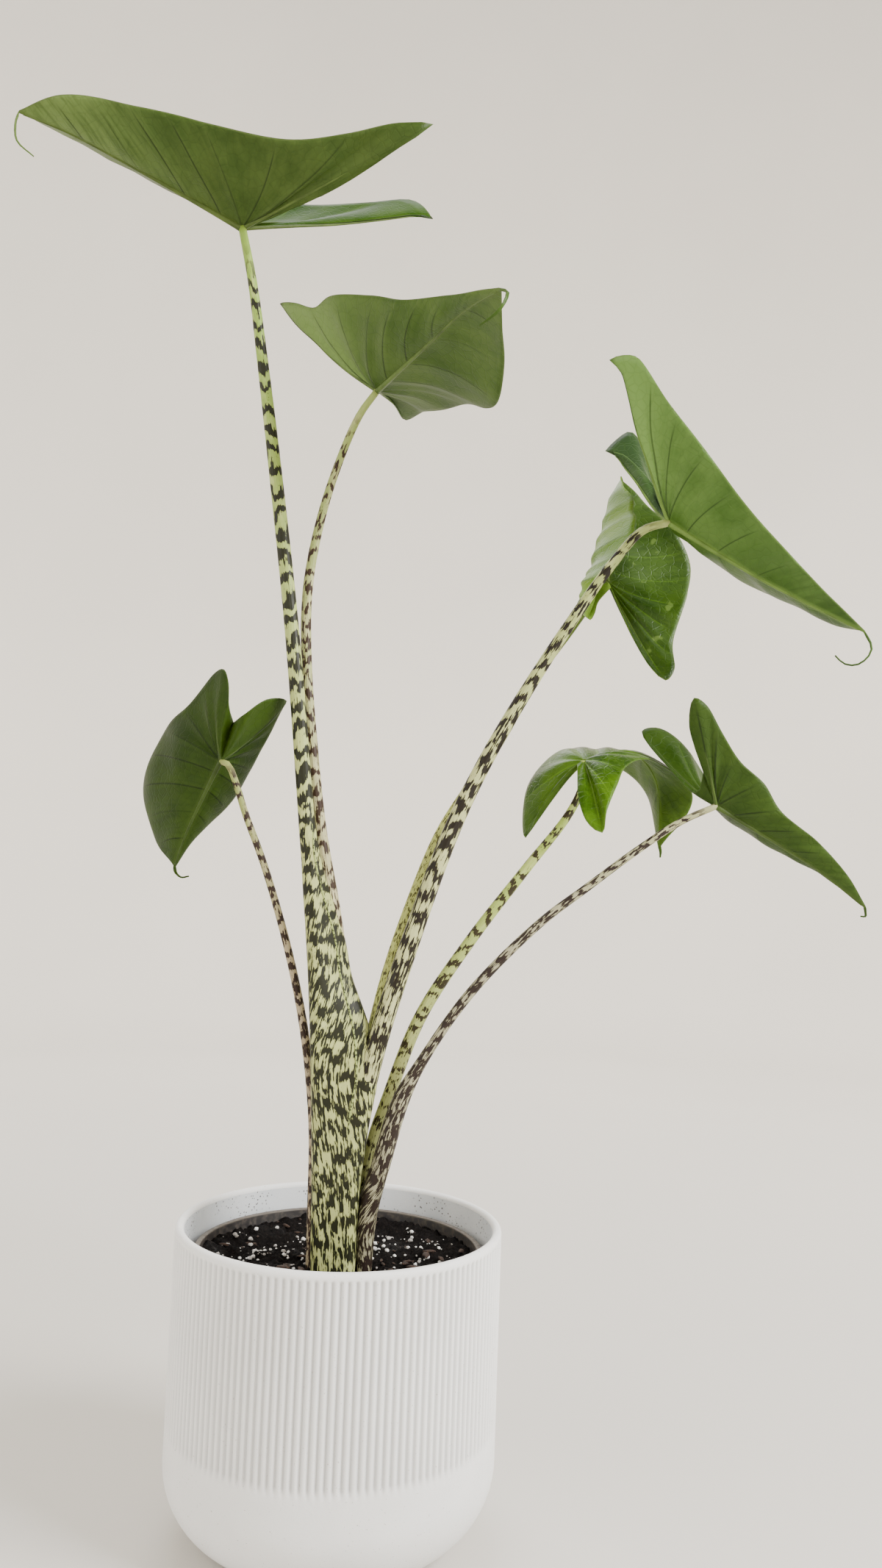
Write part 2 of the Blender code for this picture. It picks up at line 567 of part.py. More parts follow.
def build_blade(name):
    leaf = LEAVES[name]
    junction = np.array(leaf["junction"], float) * MM
    halves = [blade_rows(leaf, side) for side in ("left", "right")]
    points, numbers = [], {}

    def number(point):
        key = tuple(np.round(point, 7))
        if key not in numbers:
            numbers[key] = len(points)
            points.append(point)
        return numbers[key]

    grids = [[[number(p) for p in row] for row in rows] for rows in halves]
    faces = []
    for grid, forward in zip(grids, (True, False)):
        for lower, upper in zip(grid, grid[1:]):
            for k in range(ACROSS_STEPS):
                a, b, c, d = lower[k], lower[k + 1], upper[k + 1], upper[k]
                for triangle in ((a, b, c), (a, c, d)):
                    if len(set(triangle)) == 3:
                        faces.append(triangle if forward else triangle[::-1])
    middle = np.array(points)
    normals = np.zeros_like(middle)
    for a, b, c in faces:
        normal = np.cross(middle[b] - middle[a], middle[c] - middle[a])
        for i in (a, b, c):
            normals[i] += normal
    normals /= np.linalg.norm(normals, axis=1)[:, None]
    offset = normals * BLADE_THICKNESS / 2
    solid = np.concatenate([middle + offset, middle - offset]) + junction
    count = len(middle)
    edge_count = {}
    for face in faces:
        for a, b in zip(face, face[1:] + face[:1]):
            edge_count[(a, b)] = edge_count.get((a, b), 0) + 1
    walls = []
    for a, b in edge_count:
        if (b, a) not in edge_count:
            walls.append((b, a, a + count))
            walls.append((b, a + count, b + count))
    faces += [(c + count, b + count, a + count) for a, b, c in faces] + walls
    material = make_material("blade_" + name, BLADE_COLOURS[name], 0.42)
    return add_object("blade_" + name, solid, faces, material, 60)


def main():
    clear_scene()
    build_cover_pot()
    build_nursery_pot()
    build_potting_mix()
    build_corm()
    for name in STALKS:
        build_stalk(name)
    for name in LEAVES:
        build_blade(name)


main()
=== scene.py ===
"""Alocasia zebrina in a fluted white cover pot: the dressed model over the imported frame.

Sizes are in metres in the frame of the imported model, with +Z up.
"""
import functools
import itertools
import math
import random

import bpy
import numpy as np
from mathutils import Matrix, Vector, noise


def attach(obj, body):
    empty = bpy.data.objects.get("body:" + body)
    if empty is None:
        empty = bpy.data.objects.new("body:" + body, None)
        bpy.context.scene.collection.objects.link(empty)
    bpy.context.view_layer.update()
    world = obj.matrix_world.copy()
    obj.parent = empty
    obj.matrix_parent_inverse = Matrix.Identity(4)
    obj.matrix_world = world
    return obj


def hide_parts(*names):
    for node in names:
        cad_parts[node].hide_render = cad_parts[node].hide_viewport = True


bl_info = {
    "name": "Potted Alocasia",
    "version": (1, 0, 0),
    "blender": (4, 5, 0),
    "location": "3D View > Sidebar > Plant",
    "description": "Builds a striped-stalk alocasia with its nursery pot and fluted cover pot",
    "category": "Add Mesh",
}

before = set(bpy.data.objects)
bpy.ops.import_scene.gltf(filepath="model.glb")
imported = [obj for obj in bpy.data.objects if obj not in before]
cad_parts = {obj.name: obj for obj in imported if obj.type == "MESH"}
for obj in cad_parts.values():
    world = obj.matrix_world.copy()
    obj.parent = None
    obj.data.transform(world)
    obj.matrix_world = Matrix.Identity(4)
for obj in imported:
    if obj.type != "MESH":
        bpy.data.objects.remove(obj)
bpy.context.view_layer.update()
BODY = "root"
MM = 0.001
TURN = 2 * math.pi
LEFT_COUNTS = 20.0  # added to the vein counts on the left half of a blade, to tell the halves apart
FOOT_CENTRE = (0.0005, -0.0172)  # foot of the plant in the potting mix
FOOT_CLEAR = (0.022, 0.015)  # half widths of the patch round it that stays free of grains
CURVE_STEPS = 12  # points to each stretch of a stalk or rib
MARGIN_STEPS = 16  # points to each stretch of a blade's margin
SHEATH_SIDES = 72
SHEATH_SHARE = 0.4  # part of a stalk's colouring from foot to blade that its sheath shows
RIDGE_SIDES = 10  # points round a rib or a sheath's margin
RIB_ROWS = 41
RIDGES = 16  # fine ridges round a stalk

# Route of each stalk from the corm to its blade: x, y, z and radius, in millimetres.
STALKS = {
    "tall": [(-8, -24, 143.4, 6.0), (-11, -24.5, 230, 6.0), (-18, -25, 330, 5.6), (-30, -22.5, 430, 5.0),
        (-45, -18, 547, 4.5), (-61, -14, 650, 4.1), (-74, -12, 729, 3.5), (-82, -11, 775, 3.0),
        (-91, -10, 814, 2.6)],
    "upper": [(-5.5, -12, 143.4, 5.0), (-5.5, -12.5, 240, 5.4), (-4.5, -13.5, 320, 6.2), (-12, -14, 370, 5.4),
        (-22, -14, 420, 4.4), (-30, -12.5, 476, 3.8), (-36, -8, 528, 3.4), (-38, -3, 575, 3.2),
        (-33, 0, 618, 2.9), (-23, 0, 658, 2.6), (-9, -6, 692, 2.4), (2, -10, 707, 2.2)],
    "large": [(5, -24, 143.4, 6.2), (6, -24.5, 205, 6.4), (11, -25, 250, 6.4), (19, -24, 290, 6.3),
        (31, -21, 333, 6.0), (59, -14, 420, 5.3), (78, -10, 464, 4.7), (100, -6, 506, 4.3),
        (130, -2, 557, 3.7), (160, 0, 603, 3.2), (178, 0, 624, 2.8), (195, 0, 630, 2.5)],
    "folded": [(5.6, -12, 143.4, 4.7), (6, -12, 205, 4.7), (10, -11.5, 255, 4.6), (23, -8, 328, 4.3),
        (37, -4, 377, 3.9), (53, 0, 421, 3.5), (69, 4, 450, 3.0), (82, 11, 470, 2.8),
        (97, 27, 497, 2.6), (111, 46, 526, 2.4), (124, 61, 547, 2.3), (139, 72, 569, 2.2),
        (151, 74, 587, 2.1), (164, 60, 605, 2.0)],
    "young": [(14.6, -9.5, 143.4, 4.4), (14.8, -10, 190, 4.4), (18.5, -11, 228, 4.3), (27, -12, 257, 4.2),
        (45, -7, 307, 4.0), (74, -2, 354, 3.6), (109, 2, 402, 3.1), (136, 11, 438, 2.6),
        (145, 19, 457, 2.4), (146, 20, 474, 2.1)],
    "low": [(16.6, -20, 143.4, 4.2), (18, -22.5, 189, 5.2), (25.5, -25, 223, 5.8), (35, -25, 258, 5.4),
        (47, -24, 282, 3.5), (75, -21, 324, 3.1), (117, -15, 368, 2.8), (146, -11, 391, 2.6),
        (177, -6, 415, 2.4), (206, -2, 435, 2.2), (229, 0, 446, 2.0)],
    "small": [(-15.5, -14, 143.4, 3.2), (-16.5, -14, 195, 3.1), (-18, -13, 240, 3.0), (-26, -11.5, 295, 2.7),
        (-38, -14, 345, 2.4), (-55, -17, 397, 2.2), (-68, -20, 429, 2.1), (-75, -22, 449, 2.0),
        (-80, -22, 459, 1.9), (-85, -20, 461, 1.8)],
}

# Blades, in millimetres.  junction: where stalk and blade meet.  Offsets from it give the tip, further
# points of the midrib, the ends of the back lobes, the point where the lobes part (sinus) and the thin
# tail.  left and right: the margins from the sinus round the lobe to the tip, as distance along the
# midrib, distance across, and lift off the half's own plane, with "lobe" for the lobe's end.  heading:
# direction in degrees that along and across are measured in, in place of the midrib's.  side: number of
# the margin point where each half's bow begins to grow.  camber: that bow.  first: part of the outer
# margin that lies before the first side vein.  waves: height of the margin's waves.  hooks: how far the
# ends of the back lobes are bent, and how far round the end the bend reaches.
LEAVES = {
    "tall": dict(
        junction=(-91, -10, 814), tip=(-130, -55, 37),
        midrib=[(-43, -15, 16), (-77, -27, 28), (-104, -38, 36)], left_lobe=(118, -45, 44),
        right_lobe=(121, 62, 50), sinus=(8, 2, 5),
        tail=[(-131, -57, 28), (-129, -57, 17), (-119, -55, 9)],
        left=[(-15, 17, -3), (-43, 51, -3), (-64, 84, -2), "lobe", (-64, 105, 0), (-37, 86, -6), (-6, 66, -6),
            (40, 50, -3), (82, 38, 0), (127, 21, 0)],
        right=[(-37, 35, -10), (-82, 71, -13), (-114, 96, -15), "lobe", (-106, 104, -20), (-79, 91, -27),
            (-32, 69, -38), (20, 52, -46), (59, 41, -46), (82, 34, -40), (116, 23, -27),
            (137, 12, -14)], side=(7, 7), camber=(-5, -4), first=(0.55, 0.55), waves=1.0,
        hooks=dict(left=((6, 0, 2), 16), right=((2, 0, -4), 16))),
    "upper": dict(
        junction=(2, -10, 707), tip=(72, -140, -2), midrib=[(28, -50, 4), (54, -100, 6)],
        left_lobe=(16, 85, 15), right_lobe=(-73, 40, 76), sinus=(-3, 7, 4),
        tail=[(76, -148, -8), (72, -150, -18), (62, -144, -24)],
        left=[(-31, 27, 0), "lobe", (-52, 57, -2), (-31, 51, -6), (20, 48, -18), (62, 40, -33), (84, 35, -35),
            (111, 26, -24), (136, 12, -11)],
        right=[(-14, 20, 0), (-54, 72, 0), "lobe", (-62, 86, 0), (-49, 80, 0), (-27, 68, 0), (-1, 65, 0),
            (38, 48, 0), (73, 31, 0), (113, 16, 0), (141, 7, 0)], side=(4, 6), camber=(5, -5),
        first=(0.4, 0.5), waves=1.2),
    "large": dict(
        junction=(195, 0, 630), tip=(111, -45, -78),
        midrib=[(20, -7, -15), (57, -23, -43), (86, -35, -62)], left_lobe=(-30, 60, 73),
        right_lobe=(-42, -40, 94), sinus=(-6, 1, 12),
        tail=[(115, -47, -88), (112, -47, -95), (106, -46, -99), (99, -45, -98), (94, -44, -93)],
        left=[(-30, 29, 2), (-62, 47, 2), (-79, 55, 0), "lobe", (-81, 74, 6), (-67, 71, 3), (-44, 58, -4),
            (-20, 48, -14), (7, 36, -23), (33, 25, -22), (69, 18, -20), (101, 12, -14), (126, 5, -8)],
        right=[(-19, 22, 0), (-46, 62, 0), (-65, 77, 0), "lobe", (-60, 88, 0), (-26, 71, 0), (26, 45, 0),
            (71, 25, 0), (109, 12, 0)], side=(8, 6), camber=(-4, -4), first=(0.45, 0.38), waves=0.8,
        hooks=dict(left=((-5, 0, -4), 16), right=((-6, 0, -5), 15))),
    "folded": dict(
        junction=(164, 60, 605), tip=(13, 35, 85), midrib=[(2, 11, 28), (6, 23, 57)],
        left_lobe=(-17, -45, -38), right_lobe=(36, -30, -75), sinus=(2, -3, -5),
        tail=[(13, 36, 87), (13, 37, 89)],
        left=[(-25, 12, 0), (-45, 24, 2), "lobe", (-54, 33, -2), (-42, 37, 2), (-26, 41, 10), (-1, 42, 23),
            (15, 38, 25), (27, 34, 26), (38, 28, 20), (52, 24, 15), (76, 13, 6)],
        right=[(-41, 21, 0), (-66, 36, 0), "lobe", (-66, 52, 0), (-40, 50, 0), (0, 56, 0), (30, 56, 0),
               (62, 34, 0),
            (84, 12, 0)], side=(4, 5), camber=(-13, -3), first=(0.3, 0.35), waves=2.6),
    "young": dict(
        junction=(146, 20, 474), tip=(61, 55, -52), midrib=[(19, 12, 7), (40, 35, 10), (58, 54, -8)],
        left_lobe=(-37, 0, -52), right_lobe=(7, -45, -50), sinus=(-5, -4, -3), heading=42,
        tail=[(62, 56, -56), (62, 57, -60)],
        left=[(-10, 9, -11), (-22, 17, -32), "lobe", (-20, 35, -38), (-6, 43, -12), (12, 42, 6), (36, 38, 11),
            (74, 28, 3), (92, 20, -16)],
        right=[(-24, 18, -30), (-29, 31, -45), "lobe", (-20, 37, -37), (-4, 32, -16), (10, 27, -4), (39, 25, 2),
            (67, 28, -6), (89, 22, -22)], side=(5, 5), camber=(3, 3), first=(0.45, 0.45), waves=1.2),
    "low": dict(
        junction=(229, 0, 446), tip=(100, 15, -61), midrib=[(17, 4, -9), (43, 8, -23), (70, 11, -39)],
        left_lobe=(-43, 35, 51), right_lobe=(-21, -25, 65), sinus=(-9, -1, 21),
        tail=[(101, 16, -64), (101, 16, -67), (98, 16, -67)],
        left=[(-14, 6, -2), (-40, 29, -3), "lobe", (-49, 55, 6), (-31, 51, 8), (-8, 40, 2), (15, 22, -9),
            (28, 18, -8), (47, 13, -6), (66, 9, -3), (89, 5, 1)],
        right=[(-24, 16, 0), (-46, 32, 0), "lobe", (-46, 49, 0), (-28, 41, 0), (-6, 32, 0),
               (15, 29, 0), (34, 21, 0),
            (66, 18, 0), (96, 11, 0)], side=(6, 6), camber=(-3, -3), first=(0.4, 0.4), waves=0.6),
    "small": dict(
        junction=(-85, -20, 461), tip=(-33, 35, -66), midrib=[(-12, 11, -22), (-24, 23, -45)],
        left_lobe=(-1, 0, 58), right_lobe=(38, 12, 41), sinus=(6, 4, 25),
        tail=[(-32, 35, -70), (-28, 34, -73), (-23, 34, -72)],
        left=[(-31, 14, 0), (-43, 25, 0), "lobe", (-39, 43, 0), (-8, 54, 0), (15, 67, 0), (48, 71, 0),
              (69, 61, 0),
            (82, 32, 0)],
        right=[(-35, 3, 0), (-45, 17, 0), "lobe", (-38, 37, 0), (-25, 35, 0), (-9, 33, 0), (9, 33, 0),
               (41, 23, 0),
            (62, 7, 0)], side=(5, 6), camber=(-4, -3), first=(0.4, 0.4), waves=0.7),
}

# Skin of each stalk: colour at the foot, colour at the blade and where on the way that sets in, colour
# of the marks, their width and length in metres, how much they cover and how much less higher up, length
# of the bands in metres and how strongly the marks gather in them, and where on the way the marks end.
STALK_SKINS = {
    "tall": dict(
        foot=(0.38, 0.41, 0.155), top=(0.2, 0.31, 0.045), green_from=0.35, marks=(0.011, 0.012, 0.004),
        width=0.0033, length=0.0082, cover=0.51, thin=0.07, band=0.014, gather=0.28, fade=0.93),
    "upper": dict(
        foot=(0.4, 0.36, 0.21), top=(0.25, 0.31, 0.085), green_from=0.3, marks=(0.026, 0.013, 0.006),
        width=0.0026, length=0.0068, cover=0.47, thin=0.06, band=0.012, gather=0.18, fade=0.92),
    "large": dict(
        foot=(0.42, 0.43, 0.2), top=(0.28, 0.33, 0.1), green_from=0.5, marks=(0.01, 0.007, 0.003),
        width=0.0034, length=0.0105, cover=0.51, thin=0.04, band=0.015, gather=0.14, fade=0.95),
    "folded": dict(
        foot=(0.36, 0.39, 0.11), top=(0.08, 0.13, 0.018), green_from=0.62, marks=(0.05, 0.045, 0.012),
        width=0.002, length=0.0038, cover=0.42, thin=0.05, band=0.01, gather=0.05, fade=0.8),
    "young": dict(
        foot=(0.36, 0.38, 0.15), top=(0.28, 0.38, 0.06), green_from=0.15, marks=(0.026, 0.02, 0.007),
        width=0.003, length=0.0046, cover=0.4, thin=0.0, band=0.012, gather=0.24, fade=0.985),
    "low": dict(
        foot=(0.3, 0.285, 0.18), top=(0.33, 0.33, 0.17), green_from=0.6, marks=(0.018, 0.011, 0.008),
        width=0.0026, length=0.0064, cover=0.54, thin=0.09, band=0.013, gather=0.12, fade=0.95),
    "small": dict(
        foot=(0.35, 0.285, 0.18), top=(0.24, 0.28, 0.08), green_from=0.55, marks=(0.024, 0.013, 0.009),
        width=0.0026, length=0.0052, cover=0.5, thin=0.04, band=0.01, gather=0.18, fade=0.95),
}

# Sheaths that hold the feet of the stalks together: the stalks from the outermost in, and the heights
# between which each further stalk slips in, in metres.
SHEATHS = {
    "tall": dict(
        stalks=("tall", "upper", "large"), slips=((0.345, 0.432), (0.262, 0.345)), foot=0.144,
        top=0.44),
    "low": dict(stalks=("low", "young"), slips=((0.175, 0.228),), foot=0.144, top=0.232),
}

# Free margin of the tall stalk's sheath: height and distance in from the right edge, in millimetres.
SEAM = [(424, 1.6), (405, 3.0), (380, 4.5), (355, 5.5), (330, 6.5), (305, 9), (285, 12), (262, 13), (240, 12)]
SEAM_RADIUS = 0.00065

# Skin of each blade: dark and light tone of the under side and of the upper side.  The folded blade has
# a pale left half, painted light as if lit through, and a dark right half instead.  Then the rib's colour,
# the roughness, the gloss (and top_gloss for an upper side that differs), how much paler the left and right
# back lobes are and how much paler the end is, a painted sheen.  Below 0 they are darker, a painted shade.
BLADE_SKINS = {
    "tall": dict(
        under=((0.024, 0.048, 0.005), (0.052, 0.084, 0.015)),
        upper=((0.018, 0.048, 0.003), (0.038, 0.078, 0.008)), rib=(0.075, 0.112, 0.024), rough=0.5,
        gloss=0.13, top_gloss=0.03, lobes=(0.05, 0.0), end=0.95),
    "upper": dict(
        under=((0.026, 0.056, 0.005), (0.058, 0.098, 0.018)),
        upper=((0.018, 0.048, 0.003), (0.038, 0.08, 0.008)), rib=(0.08, 0.125, 0.028), rough=0.5,
        gloss=0.13, lobes=(0.15, 1.35), end=0.12),
    "large": dict(
        under=((0.036, 0.088, 0.007), (0.08, 0.152, 0.028)),
        upper=((0.018, 0.046, 0.007), (0.04, 0.08, 0.014)), rib=(0.12, 0.2, 0.04), rough=0.42,
        gloss=0.2, lobes=(-0.6, 0.75), end=-0.85),
    "folded": dict(
        left=((0.078, 0.158, 0.006), (0.13, 0.225, 0.02)),
        right=((0.013, 0.036, 0.001), (0.036, 0.077, 0.004)), rib=(0.08, 0.125, 0.02), rough=0.38,
        gloss=0.2, lobes=(0.45, 0.0), end=0.0),
    "young": dict(
        under=((0.024, 0.056, 0.003), (0.06, 0.116, 0.01)),
        upper=((0.017, 0.048, 0.001), (0.062, 0.134, 0.003)), rib=(0.075, 0.14, 0.01), rough=0.36,
        gloss=0.12, lobes=(0.0, 0.0), end=0.0),
    "low": dict(
        under=((0.016, 0.038, 0.002), (0.032, 0.064, 0.005)),
        upper=((0.014, 0.036, 0.001), (0.028, 0.06, 0.004)), rib=(0.052, 0.086, 0.016), rough=0.46,
        gloss=0.13, lobes=(0.0, 0.0), end=0.15),
    "small": dict(
        under=((0.011, 0.027, 0.001), (0.022, 0.045, 0.002)),
        upper=((0.01, 0.026, 0.001), (0.022, 0.044, 0.003)), rib=(0.042, 0.072, 0.012), rough=0.48,
        gloss=0.08, lobes=(0.05, 0.1), end=0.12),
}


def unit(vector):
    return vector / np.linalg.norm(vector)


def scaled(colour, share):
    return tuple(share * c for c in colour)


def smooth_curve(points, per_span):
    """Points along a centripetal curve through the given points, per_span to each stretch."""
    given = [np.array(p, float) for p in points]
    padded = [2 * given[0] - given[1]] + given + [2 * given[-1] - given[-2]]
    curve = []
    for i in range(1, len(padded) - 2):
        before, start, end, after = padded[i - 1:i + 3]
        d1, d2, d3 = (max(np.linalg.norm(b - a), 1e-9) ** 0.5
                      for a, b in ((before, start), (start, end), (end, after)))
        leave = ((start - before) / d1 - (end - before) / (d1 + d2) + (end - start) / d2) * d2
        arrive = ((end - start) / d2 - (after - start) / (d2 + d3) + (after - end) / d3) * d2
        for k in range(per_span):
            t = k / per_span
            curve.append((2 * t ** 3 - 3 * t ** 2 + 1) * start + (t ** 3 - 2 * t ** 2 + t) * leave
                         + (3 * t ** 2 - 2 * t ** 3) * end + (t ** 3 - t ** 2) * arrive)
    curve.append(given[-1])
    return np.array(curve)


def curve_length(curve):
    return np.linalg.norm(np.diff(curve[:, :3], axis=0), axis=1).sum()


def at_shares(curve, shares):
    """Points of a curve at the given shares of its length; extra columns are carried along."""
    lengths = np.linalg.norm(np.diff(curve[:, :3], axis=0), axis=1)
    along = np.concatenate([[0.0], np.cumsum(lengths)])
    wanted = np.asarray(shares) * along[-1]
    return np.stack([np.interp(wanted, along, curve[:, k]) for k in range(curve.shape[1])], axis=1)


def evenly(curve, steps):
    return at_shares(curve, np.linspace(0.0, 1.0, steps + 1))


def smooth_step(value, low, high):
    t = np.clip((np.asarray(value, float) - low) / (high - low), 0.0, 1.0)
    return t * t * (3 - 2 * t)


def arc(centre_radius, centre_height, size, start, end, steps):
    """(radius, height) along a rounding, with the angles from the level, in degrees."""
    turns = [math.radians(start + (end - start) * i / steps) for i in range(steps + 1)]
    return [(centre_radius + size * math.cos(t), centre_height + size * math.sin(t)) for t in turns]


def circle(radius, columns):
    return [(radius * math.cos(TURN * i / columns), radius * math.sin(TURN * i / columns))
            for i in range(columns)]


def grid_faces(rows, columns, first=0):
    """Quads between closed rows of so many points each."""
    faces = []
    for i in range(rows - 1):
        for k in range(columns):
            j = (k + 1) % columns
            a, b = first + i * columns, first + (i + 1) * columns
            faces.append((a + k, a + j, b + j, b + k))
    return faces


def closed_body(rings, middles=None, first=0):
    """Points and faces of a body of rings, closed at both ends by a fan round a middle."""
    rows, columns = len(rings), len(rings[0])
    points = [tuple(p) for ring in rings for p in ring]
    faces = grid_faces(rows, columns, first)
    if middles is None:
        middles = [np.mean(ring, axis=0) for ring in (rings[0], rings[-1])]
    for row, middle in zip((0, rows - 1), middles):
        pole, start = first + len(points), first + row * columns
        points.append(tuple(middle))
        for k in range(columns):
            a, b = start + k, start + (k + 1) % columns
            faces.append((pole, b, a) if row == 0 else (pole, a, b))
    return points, faces


def mesh_object(name, points, faces, materials, slot, numbers=None, replaces=True):
    """A smooth-shaded piece that rides on the body; numbers: the material of each face."""
    mesh = bpy.data.meshes.new(name)
    mesh.from_pydata([tuple(p) for p in points], [], faces)
    for material in materials:
        mesh.materials.append(material)
    if numbers is not None:
        mesh.polygons.foreach_set("material_index", numbers)
    mesh.shade_smooth()
    mesh.validate()
    obj = bpy.data.objects.new(name, mesh)
    bpy.context.scene.collection.objects.link(obj)
    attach(obj, BODY)
    if replaces:
        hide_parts(slot)
    return obj


def give(mesh, name, kind, values):
    """Stores one value, or one colour, for each point of a mesh."""
    layer = mesh.attributes.new(name, kind, "POINT")
    layer.data.foreach_set("color" if kind == "FLOAT_COLOR" else "value", values)


def is_socket(value):
    return isinstance(value, bpy.types.NodeSocket)


class Nodes:
    """Adds nodes to one shader tree.  A value is a number, a colour or another node's output."""

    def __init__(self, tree):
        self.tree = tree

    def feed(self, socket, value):
        if is_socket(value):
            self.tree.links.new(value, socket)
        else:
            socket.default_value = value

    def put(self, kind, inputs=None, **settings):
        made = self.tree.nodes.new(kind)
        for key, value in settings.items():
            setattr(made, key, value)
        for key, value in (inputs or {}).items():
            self.feed(made.inputs[key], value)
        return made

    def maths(self, operation, first, second=0.0):
        return self.put("ShaderNodeMath", {0: first, 1: second}, operation=operation).outputs[0]

    def plus(self, first, second):
        return self.maths("ADD", first, second)

    def minus(self, first, second):
        return self.maths("SUBTRACT", first, second)

    def times(self, first, second):
        return self.maths("MULTIPLY", first, second)

    def over(self, first, second):
        return self.maths("DIVIDE", first, second)

    def mix(self, factor, first, second):
        first, second = (c if is_socket(c) else (*c, 1.0) for c in (first, second))
        made = self.put("ShaderNodeMix", {0: factor, 6: first, 7: second}, data_type="RGBA", clamp_factor=True)
        return made.outputs[2]

    def ramp(self, value, low, high, to_low=0.0, to_high=1.0):
        """value brought smoothly from low..high to to_low..to_high."""
        inputs = {"Value": value, "From Min": low, "From Max": high, "To Min": to_low, "To Max": to_high}
        return self.put("ShaderNodeMapRange", inputs, interpolation_type="SMOOTHSTEP").outputs["Result"]

    def noise(self, vector, scale, detail=3.0, roughness=0.55, distortion=0.0):
        return self.put("ShaderNodeTexNoise", {
            "Vector": vector, "Scale": scale, "Detail": detail, "Roughness": roughness,
            "Distortion": distortion}).outputs["Fac"]

    def cells(self, vector, scale, feature="F1"):
        inputs = {"Vector": vector, "Scale": scale}
        return self.put("ShaderNodeTexVoronoi", inputs, feature=feature).outputs["Distance"]

    def stretch(self, vector, x, y, z=1.0):
        return self.put("ShaderNodeVectorMath", {0: vector, 1: (x, y, z)}, operation="MULTIPLY").outputs[0]

    def join(self, **parts):
        return self.put("ShaderNodeCombineXYZ", parts).outputs[0]

    def split(self, vector):
        return self.put("ShaderNodeSeparateXYZ", {0: vector}).outputs

    def stored(self, name):
        """What a mesh stores under a name, as Fac, Color and Alpha."""
        return self.put("ShaderNodeAttribute", attribute_name=name).outputs

    def group(self, tree, inputs):
        return self.put("ShaderNodeGroup", inputs, node_tree=tree).outputs


class Skin(Nodes):
    """The nodes of a new material and its Principled shader."""

    def __init__(self, name, specular, roughness=0.5):
        self.material = bpy.data.materials.new(name)
        self.material.use_nodes = True
        super().__init__(self.material.node_tree)
        self.shader = self.tree.nodes["Principled BSDF"].inputs
        self.shader["Roughness"].default_value = roughness
        self.shader["Specular IOR Level"].default_value = specular
        self.place = self.tree.nodes.new("ShaderNodeTexCoord").outputs["Object"]

    def grain(self, size, vector=None):
        return self.group(grain_group(), {"Vector": self.place if vector is None else vector, "Size": size})

    def finish(self, colour, roughness, height, relief):
        """Joins colour, roughness and a bump that is so many metres high, and gives the material."""
        bump = self.put("ShaderNodeBump", {"Height": height, "Distance": relief, "Strength": 1.0})
        results = {"Base Color": colour, "Roughness": roughness, "Normal": bump.outputs["Normal"]}
        for key, value in results.items():
            self.tree.links.new(value, self.shader[key])
        return self.material

    def finish_grained(self, colour, grain, smooth, rough, relief):
        """Finish whose roughness runs from smooth to rough with a grain, and whose bump is the grain."""
        return self.finish(colour, self.ramp(grain["Tone"], 0.3, 0.7, smooth, rough), grain["Height"], relief)


def new_group(name, inputs, outputs):
    """An empty shader node group of numbers, with its inner inputs and outputs."""
    tree = bpy.data.node_groups.new(name, "ShaderNodeTree")
    for label, default in inputs.items():
        kind = "NodeSocketVector" if default is None else "NodeSocketFloat"
        socket = tree.interface.new_socket(label, in_out="INPUT", socket_type=kind)
        if default is not None:
            socket.default_value = default
    for label in outputs:
        tree.interface.new_socket(label, in_out="OUTPUT", socket_type="NodeSocketFloat")
    return Nodes(tree), tree.nodes.new("NodeGroupInput").outputs, tree.nodes.new("NodeGroupOutput").inputs


def zebra_group():
    """Irregular marks stretched along a stalk and gathered in bands."""
    if "Zebra Marks" in bpy.data.node_groups:
        return bpy.data.node_groups["Zebra Marks"]
    n, given, out = new_group("Zebra Marks", {
        "Vector": None, "Mark Width": 0.003, "Mark Length": 0.009, "Band Length": 0.016, "Gather": 0.15,
        "Cover": 0.45}, ["Mask", "Halo"])
    parts = n.split(given["Vector"])
    place = n.join(X=n.times(parts["X"], n.over(1.0, given["Mark Width"])),
                   Y=n.times(parts["Y"], n.over(1.0, given["Mark Length"])), Z=parts["Z"])
    blotch = n.noise(place, 1.0, 2.5, 0.6, 0.35)
    streak = n.noise(n.stretch(place, 2.8, 0.75), 1.0, 2.0, 0.6)
    wander = n.noise(place, 0.42, 1.0)
    blotch = n.plus(n.times(blotch, 0.48), n.times(streak, 0.52))
    turns = n.plus(n.over(parts["Y"], given["Band Length"]), n.times(wander, 1.9))
    wave = n.maths("SINE", n.times(turns, TURN))
    level = n.plus(blotch, n.times(wave, n.times(given["Gather"], 0.5)))
    edge = n.minus(0.74, n.times(given["Cover"], 0.5))
    above = n.minus(level, edge)
    n.feed(out["Mask"], n.ramp(above, -0.012, 0.022))
    n.feed(out["Halo"], n.ramp(above, -0.055, 0.015))
    return n.tree


def vein_group():
    """Lines along the side veins, from a count of veins and their distance from each other."""
    if "Leaf Veins" in bpy.data.node_groups:
        return bpy.data.node_groups["Leaf Veins"]
    inputs = {"Count": 0.0, "Spacing": 0.01, "Line Width": 0.0006}
    n, given, out = new_group("Leaf Veins", inputs, ["Line", "Halo"])
    shifted = n.maths("FRACT", n.plus(given["Count"], 0.5))
    apart = n.maths("ABSOLUTE", n.minus(shifted, 0.5))
    share = n.over(n.times(apart, given["Spacing"]), given["Line Width"])
    n.feed(out["Line"], n.minus(1.0, n.ramp(share, 0.4, 1.3)))
    n.feed(out["Halo"], n.minus(1.0, n.ramp(share, 0.5, 8.0)))
    return n.tree


